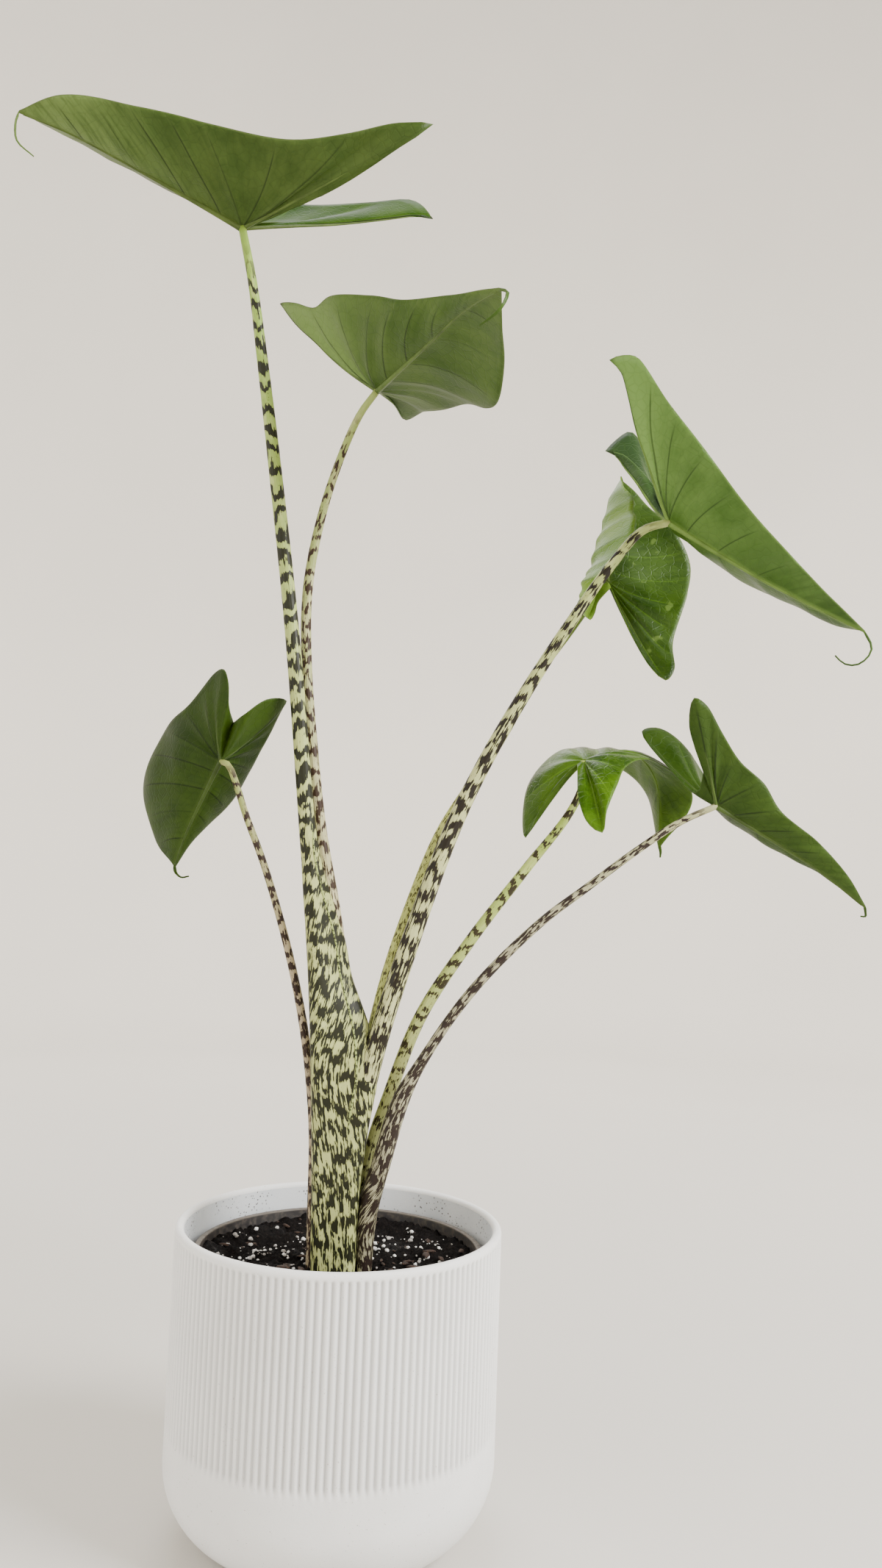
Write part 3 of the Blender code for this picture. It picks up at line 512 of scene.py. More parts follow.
def grain_group():
    """Fine unevenness of tone and height at a given size."""
    if "Fine Grain" in bpy.data.node_groups:
        return bpy.data.node_groups["Fine Grain"]
    n, given, out = new_group("Fine Grain", {"Vector": None, "Size": 0.001}, ["Tone", "Height"])
    scale = n.over(1.0, given["Size"])
    n.feed(out["Tone"], n.noise(given["Vector"], scale, 2.0))
    n.feed(out["Height"], n.noise(given["Vector"], n.times(scale, 0.35), 4.0, 0.65))
    return n.tree


def ceramic_outside(settings):
    n = Skin("Matt White Ceramic", 0.35)
    white = tuple(settings.colour)
    cloud = n.ramp(n.noise(n.place, 14.0), 0.35, 0.7)
    colour = n.mix(cloud, white, scaled(white, 0.93))
    # Painted shade: the colour darkens in the flute grooves, following the stored groove depth.
    colour = n.mix(n.times(n.stored("groove")["Fac"], 0.75), colour, scaled(white, 0.62))
    dust = n.ramp(n.noise(n.place, 900.0, 1.0), 0.735, 0.76)
    colour = n.mix(n.times(dust, 0.55), colour, (0.24, 0.21, 0.18))
    return n.finish_grained(colour, n.grain(0.0012), 0.50, 0.62, 0.00012)


def ceramic_inside():
    n = Skin("Ceramic Inside With Soil Specks", 0.3)
    cloud = n.ramp(n.noise(n.place, 30.0, 4.0), 0.35, 0.7)
    colour = n.mix(cloud, (0.66, 0.68, 0.70), (0.56, 0.59, 0.62))
    dirty = n.ramp(n.noise(n.place, 38.0, 2.0), 0.40, 0.56)
    sizes = n.times(n.noise(n.place, 700.0, 1.0), 0.45)
    specks = n.times(n.maths("LESS_THAN", n.cells(n.place, 420.0), sizes), dirty)
    colour = n.mix(n.times(specks, 0.85), colour, (0.05, 0.04, 0.045))
    return n.finish_grained(colour, n.grain(0.0015), 0.52, 0.68, 0.0002)


def nursery_plastic():
    n = Skin("Nursery Plastic With Painted Lip Highlight", 0.4)
    grain = n.grain(0.003)
    colour = n.mix(n.ramp(grain["Tone"], 0.4, 0.75), (0.020, 0.018, 0.018), (0.060, 0.050, 0.042))
    # Painted highlight: the top of the lip turns a lighter brown-grey.
    painted_lip_highlight = n.ramp(n.split(n.place)["Z"], 0.1636, 0.1648, 0.0, 0.8)
    colour = n.mix(painted_lip_highlight, colour, (0.13, 0.11, 0.09))
    return n.finish_grained(colour, grain, 0.38, 0.72, 0.0003)


def crumb_material(settings):
    n = Skin("Peat Crumb", 0.08)
    grain, wet = n.grain(0.0016), n.noise(n.place, 45.0)
    peat = tuple(settings.colour)
    colour = n.mix(n.ramp(grain["Tone"], 0.42, 0.72), peat, scaled(peat, 2.5))
    colour = n.mix(n.ramp(wet, 0.5, 0.75, 0.0, 0.6), colour, (0.003, 0.0025, 0.0025))
    return n.finish(colour, n.ramp(wet, 0.45, 0.72, 0.95, 0.45), grain["Height"], 0.0022)


def perlite_material():
    n = Skin("Perlite", 0.3)
    grain = n.grain(0.0006)
    shade = n.ramp(n.noise(n.place, 140.0, 1.0), 0.38, 0.62)
    colour = n.mix(shade, (0.30, 0.28, 0.26), (0.80, 0.79, 0.76))
    colour = n.mix(n.ramp(grain["Tone"], 0.58, 0.75, 0.0, 0.7), colour, (0.16, 0.13, 0.11))
    return n.finish_grained(colour, grain, 0.75, 0.95, 0.0003)


def bark_material():
    n = Skin("Bark Bits", 0.3)
    grain = n.grain(0.0012, n.stretch(n.place, 1.0, 2.5))
    colour = n.mix(n.ramp(grain["Tone"], 0.35, 0.7), (0.010, 0.006, 0.005), (0.060, 0.034, 0.022))
    return n.finish_grained(colour, grain, 0.65, 0.9, 0.0005)


def corm_material():
    n = Skin("Corm Skin", 0.3)
    grain = n.grain(0.002)
    colour = n.mix(n.ramp(grain["Tone"], 0.35, 0.7), (0.07, 0.045, 0.03), (0.24, 0.19, 0.10))
    return n.finish_grained(colour, grain, 0.7, 0.9, 0.0006)


def stalk_material(name, settings):
    """Pale skin with zebra marks that thin out and end below the blade."""
    skin = STALK_SKINS[name]
    n = Skin("Striped Stalk " + name.capitalize(), 0.20)
    flat = n.put("ShaderNodeUVMap", uv_map="skin").outputs["UV"]
    way = n.put("ShaderNodeSeparateColor", {0: n.stored("way")["Color"]}).outputs
    up = way["Red"]
    ground = n.mix(n.ramp(up, skin["green_from"], 0.97), skin["foot"], skin["top"])
    cloud = n.noise(n.stretch(flat, 160.0, 40.0), 1.0)
    paler = tuple(min(1.0, 1.28 * c + 0.03) for c in skin["foot"])
    ground = n.mix(n.ramp(cloud, 0.45, 0.75, 0.0, 0.55), ground, paler)
    fade = n.ramp(up, skin["fade"], min(0.995, skin["fade"] + 0.06), 1.0, 0.0)
    cover = n.minus(skin["cover"] * settings.cover, n.ramp(up, 0.45, 1.0, 0.0, skin["thin"]))
    gather = n.ramp(up, 0.15, 0.60, 0.25 * skin["gather"], skin["gather"])
    marks = n.group(zebra_group(), {
        "Vector": flat, "Mark Width": skin["width"], "Mark Length": skin["length"],
        "Band Length": skin["band"], "Cover": cover, "Gather": gather})
    olive = tuple(0.55 * g + 0.45 * m for g, m in zip(skin["foot"], skin["marks"]))
    colour = n.mix(n.times(marks["Halo"], n.times(fade, 0.55)), ground, olive)
    colour = n.mix(n.times(marks["Mask"], fade), colour, skin["marks"])
    fleck = n.ramp(n.noise(n.stretch(flat, 900.0, 420.0), 1.0, 1.0), 0.66, 0.72)
    colour = n.mix(n.times(fleck, n.times(fade, 0.6)), colour, skin["marks"])
    ridges = n.maths("SINE", n.times(way["Green"], TURN * RIDGES))
    height = n.plus(n.times(ridges, 0.25), cloud)
    return n.finish(colour, n.ramp(cloud, 0.3, 0.7, 0.44, 0.58), height, 0.00018)


def margin_material():
    n = Skin("Sheath Margin", 0.3)
    dots = n.ramp(n.noise(n.stretch(n.place, 1.0, 1.0, 0.8), 620.0, 1.0), 0.50, 0.56)
    colour = n.mix(dots, (0.30, 0.36, 0.11), (0.030, 0.036, 0.010))
    return n.finish_grained(colour, n.grain(0.0008), 0.4, 0.55, 0.0001)


def blade_material(name, side, settings):
    """One face of a blade, painted from the mesh's own measures of veins, rib and margin."""
    skin = BLADE_SKINS[name]
    tint = tuple(settings.tint)
    dark, light = (tuple(c * t for c, t in zip(colour, tint)) for colour in skin[side])
    pale = tuple(min(0.9, 1.9 * c + 0.02) for c in light)
    rough = skin["rough"] - (0.08 if side == "upper" else 0.0)
    gloss = {"upper": skin.get("top_gloss", skin["gloss"]), "left": 0.06}.get(side, skin["gloss"])
    # The folded blade's pale half is painted light, as if lit through.
    label = {"under": "Under Side ", "upper": "Upper Side ", "left": "Painted Light Half ", "right": "Dark Half "}[side]
    n = Skin(label + name.capitalize(), gloss)
    leaf = n.stored("leaf")
    parts = n.put("ShaderNodeSeparateColor", {0: leaf["Color"]}).outputs
    counted, from_rib, from_margin = parts["Red"], parts["Blue"], leaf["Alpha"]
    on_left = n.maths("GREATER_THAN", counted, LEFT_COUNTS - 1.0)
    count = n.minus(counted, n.times(on_left, LEFT_COUNTS))
    veins = n.group(vein_group(), {"Count": count, "Spacing": parts["Green"], "Line Width": 0.00048})

    # Clouds of the dark and the light tone, drawn out along the veins.
    streak = n.noise(n.join(X=n.times(counted, 7.0), Y=n.times(from_rib, 26.0)), 1.0, 5.0, 0.6)
    tone = n.plus(n.times(streak, 0.24), n.times(n.noise(n.place, 24.0, 5.0, 0.62), 0.76))
    colour = n.mix(n.ramp(tone, 0.36, 0.66), dark, light)

    # Painted sheen that makes the back lobes and the end paler, and painted shade that makes them darker where
    # their setting is below 0.
    left_lobe, right_lobe = skin["lobes"]
    paler = n.plus(n.times(on_left, left_lobe - right_lobe), right_lobe)
    in_lobe = n.ramp(count, 0.6, 4.2, 1.0, 0.0)
    colour = n.mix(n.times(in_lobe, paler), colour, pale)
    colour = n.mix(n.times(in_lobe, n.times(paler, -1.0)), colour, (0.014, 0.036, 0.010))
    end = n.times(n.ramp(count, 4.5, 8.6), n.ramp(streak, 0.3, 0.6, 0.4, 1.0))
    colour = n.mix(n.times(end, abs(skin["end"])), colour, pale if skin["end"] > 0 else scaled(dark, 0.60))

    # Side veins, each with its own strength, a painted sheen along them, and the fine net between them.
    sheen = tuple(0.95 * c + s for c, s in zip(light, (0.014, 0.018, 0.009)))
    colour = n.mix(n.times(veins["Halo"], n.ramp(streak, 0.3, 0.65, 0.0, 0.20)), colour, sheen)
    own_place = n.join(X=n.times(n.maths("ROUND", counted), 3.7))
    own = n.ramp(n.noise(own_place, 1.0, 0.0), 0.35, 0.6, 0.15, 1.0)
    reach = n.times(n.ramp(from_margin, 0.002, 0.016), own)
    line = scaled(dark, 0.36) if side in ("under", "left") else scaled(light, 1.5)
    colour = n.mix(n.times(veins["Line"], n.times(reach, 0.80)), colour, line)
    net = n.ramp(n.cells(n.place, 170.0, "DISTANCE_TO_EDGE"), 0.0, 0.09, 1.0, 0.0)
    colour = n.mix(n.times(net, 0.10), colour, line)
    if side == "right":
        spots = n.ramp(n.noise(n.place, 90.0, 2.0), 0.64, 0.70)
        colour = n.mix(n.times(spots, 0.40), colour, (0.16, 0.25, 0.05))

    # Rib and margin.
    colour = n.mix(n.ramp(from_rib, 0.0010, 0.0042, 0.60, 0.0), colour, skin["rib"])
    rim = tuple(0.45 * r + 0.6 * c + 0.015 for r, c in zip(skin["rib"], light))
    colour = n.mix(n.ramp(from_margin, 0.0004, 0.0012, 0.65, 0.0), colour, rim)

    height = n.plus(n.times(n.grain(0.0011)["Tone"], 0.25), n.times(net, -0.35))
    height = n.plus(height, n.times(tone, 2.2))
    return n.finish(colour, n.ramp(tone, 0.3, 0.7, rough - 0.05, rough + 0.08), height, 0.00030)


def rib_material(name):
    n = Skin("Rib " + name.capitalize(), 0.16)
    rib = BLADE_SKINS[name]["rib"]
    colour = n.mix(n.ramp(n.noise(n.place, 60.0), 0.35, 0.7), rib, scaled(rib, 0.62))
    return n.finish_grained(colour, n.grain(0.0009), 0.38, 0.5, 0.0002)


def floor_material(colour):
    """A pale floor that turns a little brighter where it rises into the wall."""
    n = Skin("Pale Floor", 0.1, 0.85)
    level = n.put("ShaderNodeVectorMath", {0: n.stretch(n.place, 1.0, 1.0, 0.0)}, operation="LENGTH")
    near = scaled(colour, 0.70)
    ground = n.mix(n.ramp(level.outputs["Value"], 0.2, 2.2), near, colour)
    cloud = n.times(n.noise(n.place, 2.0, 2.0), 0.3)
    n.feed(n.shader["Base Color"], n.mix(cloud, ground, near))
    return n.material


def flute_groove(columns, flutes):
    """Share of the flute depth at each point round the wall."""
    angles = np.arange(columns) * 2 * math.pi / columns
    return (0.5 + 0.5 * np.cos(angles * flutes)) ** 1.8 if flutes else np.zeros(columns)


def lathe(name, rings, columns, materials, slot, flutes=0, splits=()):
    """A turned piece.  rings: (radius, height, flute depth); splits: first ring of each further material."""
    groove = flute_groove(columns, flutes)
    around = circle(1.0, columns)
    body = [[((radius - depth * g) * x, (radius - depth * g) * y, height) for (x, y), g in zip(around, groove)]
            for radius, height, depth in rings]
    points, faces = closed_body(body)
    numbers = []
    for i in range(len(rings) - 1):
        numbers += [sum(1 for s in splits if i >= s)] * columns
    numbers += [0] * columns + [len(materials) - 1] * columns
    return mesh_object(name, points, faces, materials, slot, numbers)


def build_cover_pot(settings):
    radius, height, depth = settings.radius, settings.height, settings.flute_depth
    foot, lip, floor = 0.045, settings.wall / 2, 0.008
    flutes_from, flutes_full, flutes_to = 0.063, 0.069, 0.1743
    plain = [(0.02, 0.0), (radius - foot, 0.0)] + arc(radius - foot, foot, foot, -84, 0, 16)
    plain += [(radius, z) for z in (0.052, 0.058, 0.0625)]
    rings = [(r, z, 0.0) for r, z in plain]
    for share in (0.25, 0.6, 0.85, 1.0):
        rings.append((radius, flutes_from + (flutes_full - flutes_from) * share,
                      depth * smooth_step(share, 0, 1)))
    rings += [(radius, flutes_full + (flutes_to - flutes_full) * i / 11, depth) for i in range(1, 12)]
    rings += [(radius, 0.1750, 0.72 * depth), (radius, 0.1757, 0.30 * depth), (radius, 0.1763, 0.0)]
    rings += [(r, z, 0.0) for r, z in arc(radius - lip, height - lip, lip, 0, 180, 10)]
    inside = len(rings) - 1
    inner, bowl = radius - settings.wall, foot - floor + 0.004
    rings += [(inner, z, 0.0) for z in (0.150, 0.120, 0.090)]
    rings += [(r, z, 0.0) for r, z in arc(inner - bowl, floor + bowl, bowl, 0, -88, 8)]
    columns = settings.flutes * 8
    obj = lathe("cover_pot_fluted", rings, columns, [ceramic_outside(settings), ceramic_inside()], "cover_pot",
                settings.flutes, [inside])
    # Share of the groove depth at each point, read by the outer ceramic for its painted shade in the grooves.
    groove = flute_groove(columns, settings.flutes)
    give(obj.data, "groove", "FLOAT", np.concatenate([groove * d / depth for _, _, d in rings] + [np.zeros(2)]))


def build_nursery_pot(settings):
    wall, lip, radius, top = settings.wall, settings.lip, settings.radius, settings.top
    base, round_out, round_in = 0.0083, 0.0008, 0.0007
    line = [(0.03, base), (0.0505, base), (0.068, base + 0.011), (0.0790, 0.034), (0.0812, 0.050),
            (0.0850, top - lip), (radius - 0.0006, top - lip), (radius, top - lip + 0.0006)]
    line += arc(radius - round_out, top - round_out, round_out, 0, 90, 4)
    line += arc(0.0865 - wall + round_in, top - round_in, round_in, 90, 180, 3)
    line += [(0.0851, top - lip), (0.0798, 0.050), (0.0776, 0.034), (0.0665, base + 0.012),
             (0.050, base + wall), (0.03, base + wall)]
    lathe("nursery_pot_wall", [(r, z, 0.0) for r, z in line], 160, [nursery_plastic()], "nursery_pot")


def crumb_height(x, y, lump):
    """Height of the potting mix over its mean level: crumbs, and a gentle rise towards the wall."""
    rise = 0.0035 * float(smooth_step(math.hypot(x, y), 0.060, 0.084))
    sizes = ((0.7, 38, 0.3), (0.85, 150, 4.1), (0.75, 420, 7.7), (0.4, 900, 1.9))
    crumbs = sum(share * noise.noise(Vector((x * scale, y * scale, layer))) for share, scale, layer in sizes)
    return rise + lump * crumbs


def build_crumb(settings):
    columns, ring_count = 300, 46
    edge, top, base = 0.0847, settings.level, 0.0105
    rings = []
    for radius, height in ((0.048, base), (0.066, base + 0.012), (0.0772, 0.036), (0.0794, 0.052),
                           (edge, top - 0.004)):
        rings.append([(x, y, height) for x, y in circle(radius, columns)])
    for ring in range(ring_count):
        around = circle(edge * (1 - ring / ring_count), columns)
        rings.append([(x, y, top + crumb_height(x, y, settings.lump)) for x, y in around])
    middles = [(0.0, 0.0, base), (0.0, 0.0, top + crumb_height(0.0, 0.0, settings.lump))]
    points, faces = closed_body(rings, middles)
    mesh_object("potting_mix_crumb", points, faces, [crumb_material(settings)], "potting_mix")


@functools.cache
def pebble_shape():
    """Points and faces of a small round body to be made uneven."""
    golden = (1 + 5 ** 0.5) / 2
    corners = []
    for a, b in ((1, golden), (-1, golden), (1, -golden), (-1, -golden)):
        corners += [(0, a, b), (a, b, 0), (b, 0, a)]
    corners = [unit(np.array(c, float)) for c in corners]
    faces = []
    for i, j, k in itertools.combinations(range(12), 3):
        if max(np.linalg.norm(corners[a] - corners[b]) for a, b in ((i, j), (j, k), (i, k))) < 1.1:
            turn = np.cross(corners[j] - corners[i], corners[k] - corners[i]) @ corners[i]
            faces.append((i, j, k) if turn > 0 else (i, k, j))
    middle, finer = {}, []
    for face in faces:
        numbers = []
        for a, b in zip(face, face[1:] + face[:1]):
            key = (min(a, b), max(a, b))
            if key not in middle:
                middle[key] = len(corners)
                corners.append(unit(corners[a] + corners[b]))
            numbers.append(middle[key])
        (a, b, c), (ab, bc, ca) = face, numbers
        finer += [(a, ab, ca), (ab, b, bc), (ca, bc, c), (ab, bc, ca)]
    return np.array(corners), finer


def scatter(name, count, seed, sizes, stretch, sink, material, settings, clusters):
    """Seeded uneven grains on the potting mix, clear of the foot of the plant."""
    rng = random.Random(seed)
    corners, shape_faces = pebble_shape()
    points, faces = [], []
    centres = [(rng.uniform(0, TURN), rng.uniform(0.02, 0.078)) for _ in range(clusters)]
    placed = 0
    while placed < count:
        if rng.random() < 0.6:
            angle, radius = centres[rng.randrange(clusters)]
            x = radius * math.cos(angle) + rng.gauss(0, 0.007)
            y = radius * math.sin(angle) + rng.gauss(0, 0.007)
        else:
            angle, radius = rng.uniform(0, TURN), 0.083 * math.sqrt(rng.random())
            x, y = radius * math.cos(angle), radius * math.sin(angle)
        from_foot = [(p - c) / r for p, c, r in zip((x, y), FOOT_CENTRE, FOOT_CLEAR)]
        if math.hypot(x, y) > 0.0825 or math.hypot(*from_foot) < 1:
            continue
        size = sizes[0] + (sizes[1] - sizes[0]) * rng.random() ** 2.2
        turn = Matrix.Rotation(rng.uniform(0, 6.28), 3, "Z") @ Matrix.Rotation(rng.uniform(-0.5, 0.5), 3, "X")
        shift = Vector((rng.uniform(0, 50), 0, 0))
        first = len(points)
        lumps = np.array([0.8 + 0.35 * noise.noise(Vector(c) * 1.7 + shift) for c in corners])
        body = corners * lumps[:, None] * size * np.array(stretch) @ np.array(turn).T
        level = settings.level + crumb_height(x, y, settings.lump) + size * sink
        points += [tuple(p + np.array((x, y, level))) for p in body]
        faces += [(a + first, b + first, c + first) for a, b, c in shape_faces]
        placed += 1
    mesh_object(name, points, faces, [material], "potting_mix", replaces=False)


def ring_lumps(angles, seed):
    """A gentle unevenness round a ring, as a share of its radius."""
    return (np.sin(2 * angles + seed) + 0.6 * np.sin(3 * angles + 2.1 * seed)) / 1.6


def tube_rings(route, sides, spread=0.0, seed=0.0):
    """Rings of points along a route of x, y, z and radius."""
    tangents = np.gradient(route[:, :3], axis=0)
    tangents /= np.linalg.norm(tangents, axis=1)[:, None]
    across = unit(np.cross(tangents[0], (0.0, 1.0, 0.0)))
    angles = np.arange(sides) * 2 * math.pi / sides
    rings = []
    for i, tangent in enumerate(tangents):
        across = unit(across - tangent * (across @ tangent))
        other = np.cross(tangent, across)
        radius = route[i, 3] * (1 + spread * ring_lumps(angles, seed + 0.04 * i))
        ways = across * np.cos(angles)[:, None] + other * np.sin(angles)[:, None]
        rings.append(route[i, :3] + radius[:, None] * ways)
    return rings


@functools.cache
def stalk_route(name):
    return smooth_curve(np.array(STALKS[name]) * MM, CURVE_STEPS)


def lay_skin(mesh, widths, heights, top_share):
    """Flat map and shares of the way up and round for a closed body, from distances round each ring."""
    rows, sides = len(widths), len(widths[0]) - 1
    flat, way = [], []
    for i in range(rows - 1):
        for k in range(sides):
            for row, column in ((i, k), (i, k + 1), (i + 1, k + 1), (i + 1, k)):
                flat += [widths[row][column], heights[row]]
    for row in (0, rows - 1):
        flat += [widths[row][0], heights[row]] * 3 * sides
    for i in range(rows):
        for k in range(sides):
            way += [top_share * i / (rows - 1), k / sides, 0.0, 1.0]
    way += [0.0, 0.0, 0.0, 1.0, top_share, 0.0, 0.0, 1.0]
    mesh.uv_layers.new(name="skin").uv.foreach_set("vector", flat)
    give(mesh, "way", "FLOAT_COLOR", way)


def build_stalk(name, settings):
    route = stalk_route(name)
    length = curve_length(route)
    steps, sides = round(length / settings.step), settings.sides
    route = evenly(route, steps)
    points, faces = closed_body(tube_rings(route, sides, 0.035, len(name)))
    obj = mesh_object("stalk_%s_skin" % name, points, faces, [stalk_material(name, settings)], "stalk_" + name)
    shift = 0.37 * list(STALKS).index(name)
    widths = [shift + np.arange(sides + 1) * (TURN * radius / sides) for radius in route[:, 3]]
    lay_skin(obj.data, widths, [length * i / steps for i in range(steps + 1)], 1.0)


def stalk_at(name, height):
    """Middle and radius of a stalk where it passes a height."""
    route = stalk_route(name)
    spot = [np.interp(height, route[:, 2], route[:, k]) for k in (0, 1, 3)]
    return np.array(spot[:2]), spot[2]


def sheath_ring(name, height):
    """Points round a sheath at a height: a smooth hull of the stalks that it holds there."""
    plan = SHEATHS[name]
    angles = np.arange(SHEATH_SIDES) * 2 * math.pi / SHEATH_SIDES
    ways = np.stack([np.cos(angles), np.sin(angles)], axis=1)
    cover = 0.0006 * (1 - smooth_step(height, plan["top"] - 0.03, plan["top"])) - 0.0001
    middle, radius = stalk_at(plan["stalks"][0], height)
    circles = [(middle, radius + cover)]
    for other, (closed, opened) in zip(plan["stalks"][1:], plan["slips"]):
        slip = (1 - smooth_step(height, closed, opened)) ** 1.3
        inner_middle, inner_radius = circles[-1]
        far_middle, far_radius = stalk_at(other, height)
        circles.append((inner_middle + (far_middle - inner_middle) * slip,
                        inner_radius + (far_radius + cover - inner_radius) * slip))
    reaches = np.array([ways @ m + r for m, r in circles])
    weights = np.exp((reaches - reaches.max(axis=0)) / MM)
    weights /= weights.sum(axis=0)
    return sum(w[:, None] * (m + r * ways) for w, (m, r) in zip(weights, circles))


def build_sheath(name, settings):
    """A smooth wrap round neighbouring stalks that opens downwards as each further stalk slips in."""
    plan = SHEATHS[name]
    rows = round((plan["top"] - plan["foot"]) / 0.004)
    heights = np.linspace(plan["foot"], plan["top"], rows + 1)
    rings, widths = [], []
    for height in heights:
        ring = sheath_ring(name, height)
        rings.append([(x, y, height) for x, y in ring])
        steps = np.linalg.norm(np.diff(np.vstack([ring, ring[:1]]), axis=0), axis=1)
        widths.append(np.concatenate([[0.0], np.cumsum(steps)]))
    points, faces = closed_body(rings)
    outer = plan["stalks"][0]
    obj = mesh_object("sheath_%s_skin" % name, points, faces, [stalk_material(outer, settings)],
                      "stalk_" + outer, replaces=False)
    lay_skin(obj.data, widths, heights, SHEATH_SHARE)


def front_at(ring, x):
    """The foremost y of a ring at a given x."""
    found = []
    for a, b in zip(ring, np.roll(ring, -1, axis=0)):
        if (a[0] - x) * (b[0] - x) <= 0 and abs(b[0] - a[0]) > 1e-9:
            found.append(a[1] + (b[1] - a[1]) * (x - a[0]) / (b[0] - a[0]))
    return min(found)


def build_seam():
    """The free margin of the tall stalk's sheath: a thin ridge that runs slanting down its front."""
    line = []
    for height, inset in evenly(np.array([(h, d, 0.0) for h, d in SEAM]) * MM, 40)[:, :2]:
        ring = sheath_ring("tall", height)
        x = ring[:, 0].max() - inset
        line.append((x, front_at(ring, x), height, SEAM_RADIUS))
    line = smooth_curve(line, 2)
    steps = round(curve_length(line) / 0.003)
    line = evenly(line, steps)
    fall = np.linspace(0.0, 1.0, steps + 1)
    line[:, 3] *= np.minimum(1.0, np.minimum(fall, 1 - fall) * 12 + 0.25)
    points, faces = closed_body(tube_rings(line, RIDGE_SIDES))
    mesh_object("sheath_margin", points, faces, [margin_material()], "stalk_tall", replaces=False)


def half_axes(leaf, side):
    """Along the midrib, across towards the margin, and the upper side, of one half of a blade."""
    sign = 1.0 if side == "left" else -1.0
    if "heading" in leaf:
        turn = math.radians(leaf["heading"])
        along = np.array((math.cos(turn), math.sin(turn), 0.0))
        across = sign * np.array((-math.sin(turn), math.cos(turn), 0.0))
        return along, across, np.array((0.0, 0.0, 1.0))
    along = unit(np.array(leaf["tip"], float))
    lobe = np.array(leaf[side + "_lobe"], float)
    across = unit(lobe - along * (lobe @ along))
    return along, across, sign * np.cross(along, across)


def margin_curve(leaf, side):
    """The margin's offsets from the junction, from the sinus round the lobe to the tip."""
    along, across, upper = half_axes(leaf, side)
    points = [np.array(leaf["sinus"], float)]
    for entry in leaf[side]:
        if entry == "lobe":
            points.append(np.array(leaf[side + "_lobe"], float))
        else:
            points.append(along * entry[0] + across * entry[1] + upper * entry[2])
    points.append(np.array(leaf["tip"], float) + across * 1.3)
    return smooth_curve([p * MM for p in points], MARGIN_STEPS)


def rib_curve(leaf, per_span):
    return smooth_curve(np.array([(0, 0, 0)] + list(leaf["midrib"]) + [leaf["tip"]], float) * MM, per_span)


def half_lines(leaf, side, per_vein):
    """Straight lines from midrib to margin, as (vein count, start, end, share of the outer margin).

    The first ones fan out from the junction to the inner margin of the lobe, the next to its outer
    margin, and the last start further and further along the midrib.
    """
    fan_veins, strip_veins, inner_rows = 3, 5, per_vein + 5
    rib, curve = rib_curve(leaf, MARGIN_STEPS), margin_curve(leaf, side)
    lobe = (leaf[side].index("lobe") + 1) * MARGIN_STEPS
    inner, outer = curve[:lobe + 1], curve[lobe:]
    half = ("left", "right").index(side)
    first = leaf["first"][half]
    lines = []
    for i in range(inner_rows):
        lines.append((i / inner_rows, np.zeros(3), at_shares(inner, [i / inner_rows])[0], 0.0))
    for i in range(fan_veins * per_vein):
        x = i / (fan_veins * per_vein)
        lines.append((1 + fan_veins * x, np.zeros(3), at_shares(outer, [first * x])[0], first * x))
    for i in range(strip_veins * per_vein + 1):
        x = i / (strip_veins * per_vein)
        share = first + (1 - first) * x
        start, end = at_shares(rib, [x ** 1.45])[0], at_shares(outer, [share])[0]
        lines.append((1 + fan_veins + strip_veins * x, start, end, share))
    spans = np.linalg.norm(np.diff(outer, axis=0), axis=1)
    bow_from = spans[:leaf["side"][half] * MARGIN_STEPS - lobe].sum() / spans.sum()
    return lines, bow_from


def half_rows(leaf, side, settings):
    """Rows of points from the midrib to the margin, with the count of veins at each row."""
    along, across, upper = half_axes(leaf, side)
    lines, bow_from = half_lines(leaf, side, settings.rows_per_vein)
    half = ("left", "right").index(side)
    reach = max(np.linalg.norm(end - start) for _, start, end, _ in lines)
    steps = (np.arange(settings.across + 1) / settings.across) ** 1.25
    profile = 4 * steps * (1 - steps)
    lobe_end = np.array(leaf[side + "_lobe"], float) * MM
    hook, hook_size = leaf.get("hooks", {}).get(side, ((0, 0, 0), 20))
    rows, counts = [], []
    for count, start, end, share in lines:
        length = np.linalg.norm(end - start)
        boost = 1 + smooth_step(share, bow_from, bow_from + 0.3 * (1 - bow_from) + 1e-6)
        arch = leaf["camber"][half] * MM * boost * smooth_step(count, 0.0, 0.35) * length / reach
        lean = 0.10 * length * smooth_step(count, 1.0, 2.5) * (1 - smooth_step(share, 0.9, 1.0))
        row = start + (end - start) * steps[:, None]
        row = row + upper * (arch * profile)[:, None] - along * (lean * profile * 0.5)[:, None]
        between = np.sin(math.pi * (count % 1.0)) ** 2
        pucker = settings.pucker * between * profile ** 0.7 * min(1.0, length / 0.03)
        wave = leaf["waves"] * MM * math.sin(2.3 * count + len(side)) * steps ** 3
        wave = wave * smooth_step(length, 0.008, 0.03)
        row = row + upper * ((pucker + wave) * smooth_step(count, 0.2, 1.0))[:, None]
        uneven = np.array([noise.noise(Vector(p) * 32.0 + Vector((len(side), 0, 0))) for p in row])
        uneven = settings.uneven * uneven * profile ** 0.5 * smooth_step(length, 0.01, 0.04)
        row = row + upper * uneven[:, None]
        near = np.clip(1 - np.linalg.norm(row - lobe_end, axis=1) / (hook_size * MM), 0, 1) ** 1.6
        rows.append(row + near[:, None] * np.array(hook) * MM)
        counts.append(count)
    tail = np.array([leaf["tip"]] + leaf["tail"], float) * MM
    tail = evenly(smooth_curve(tail, 8), settings.tail_rows)
    for i in range(1, settings.tail_rows + 1):
        width = 0.0013 * (1 - 0.72 * i / settings.tail_rows)
        heading = unit(tail[i] - tail[i - 1])
        sideways = unit(across - heading * (across @ heading))
        rows.append(tail[i] + sideways * (width * steps)[:, None])
        counts.append(counts[-1])
    return np.array(rows), np.array(counts)


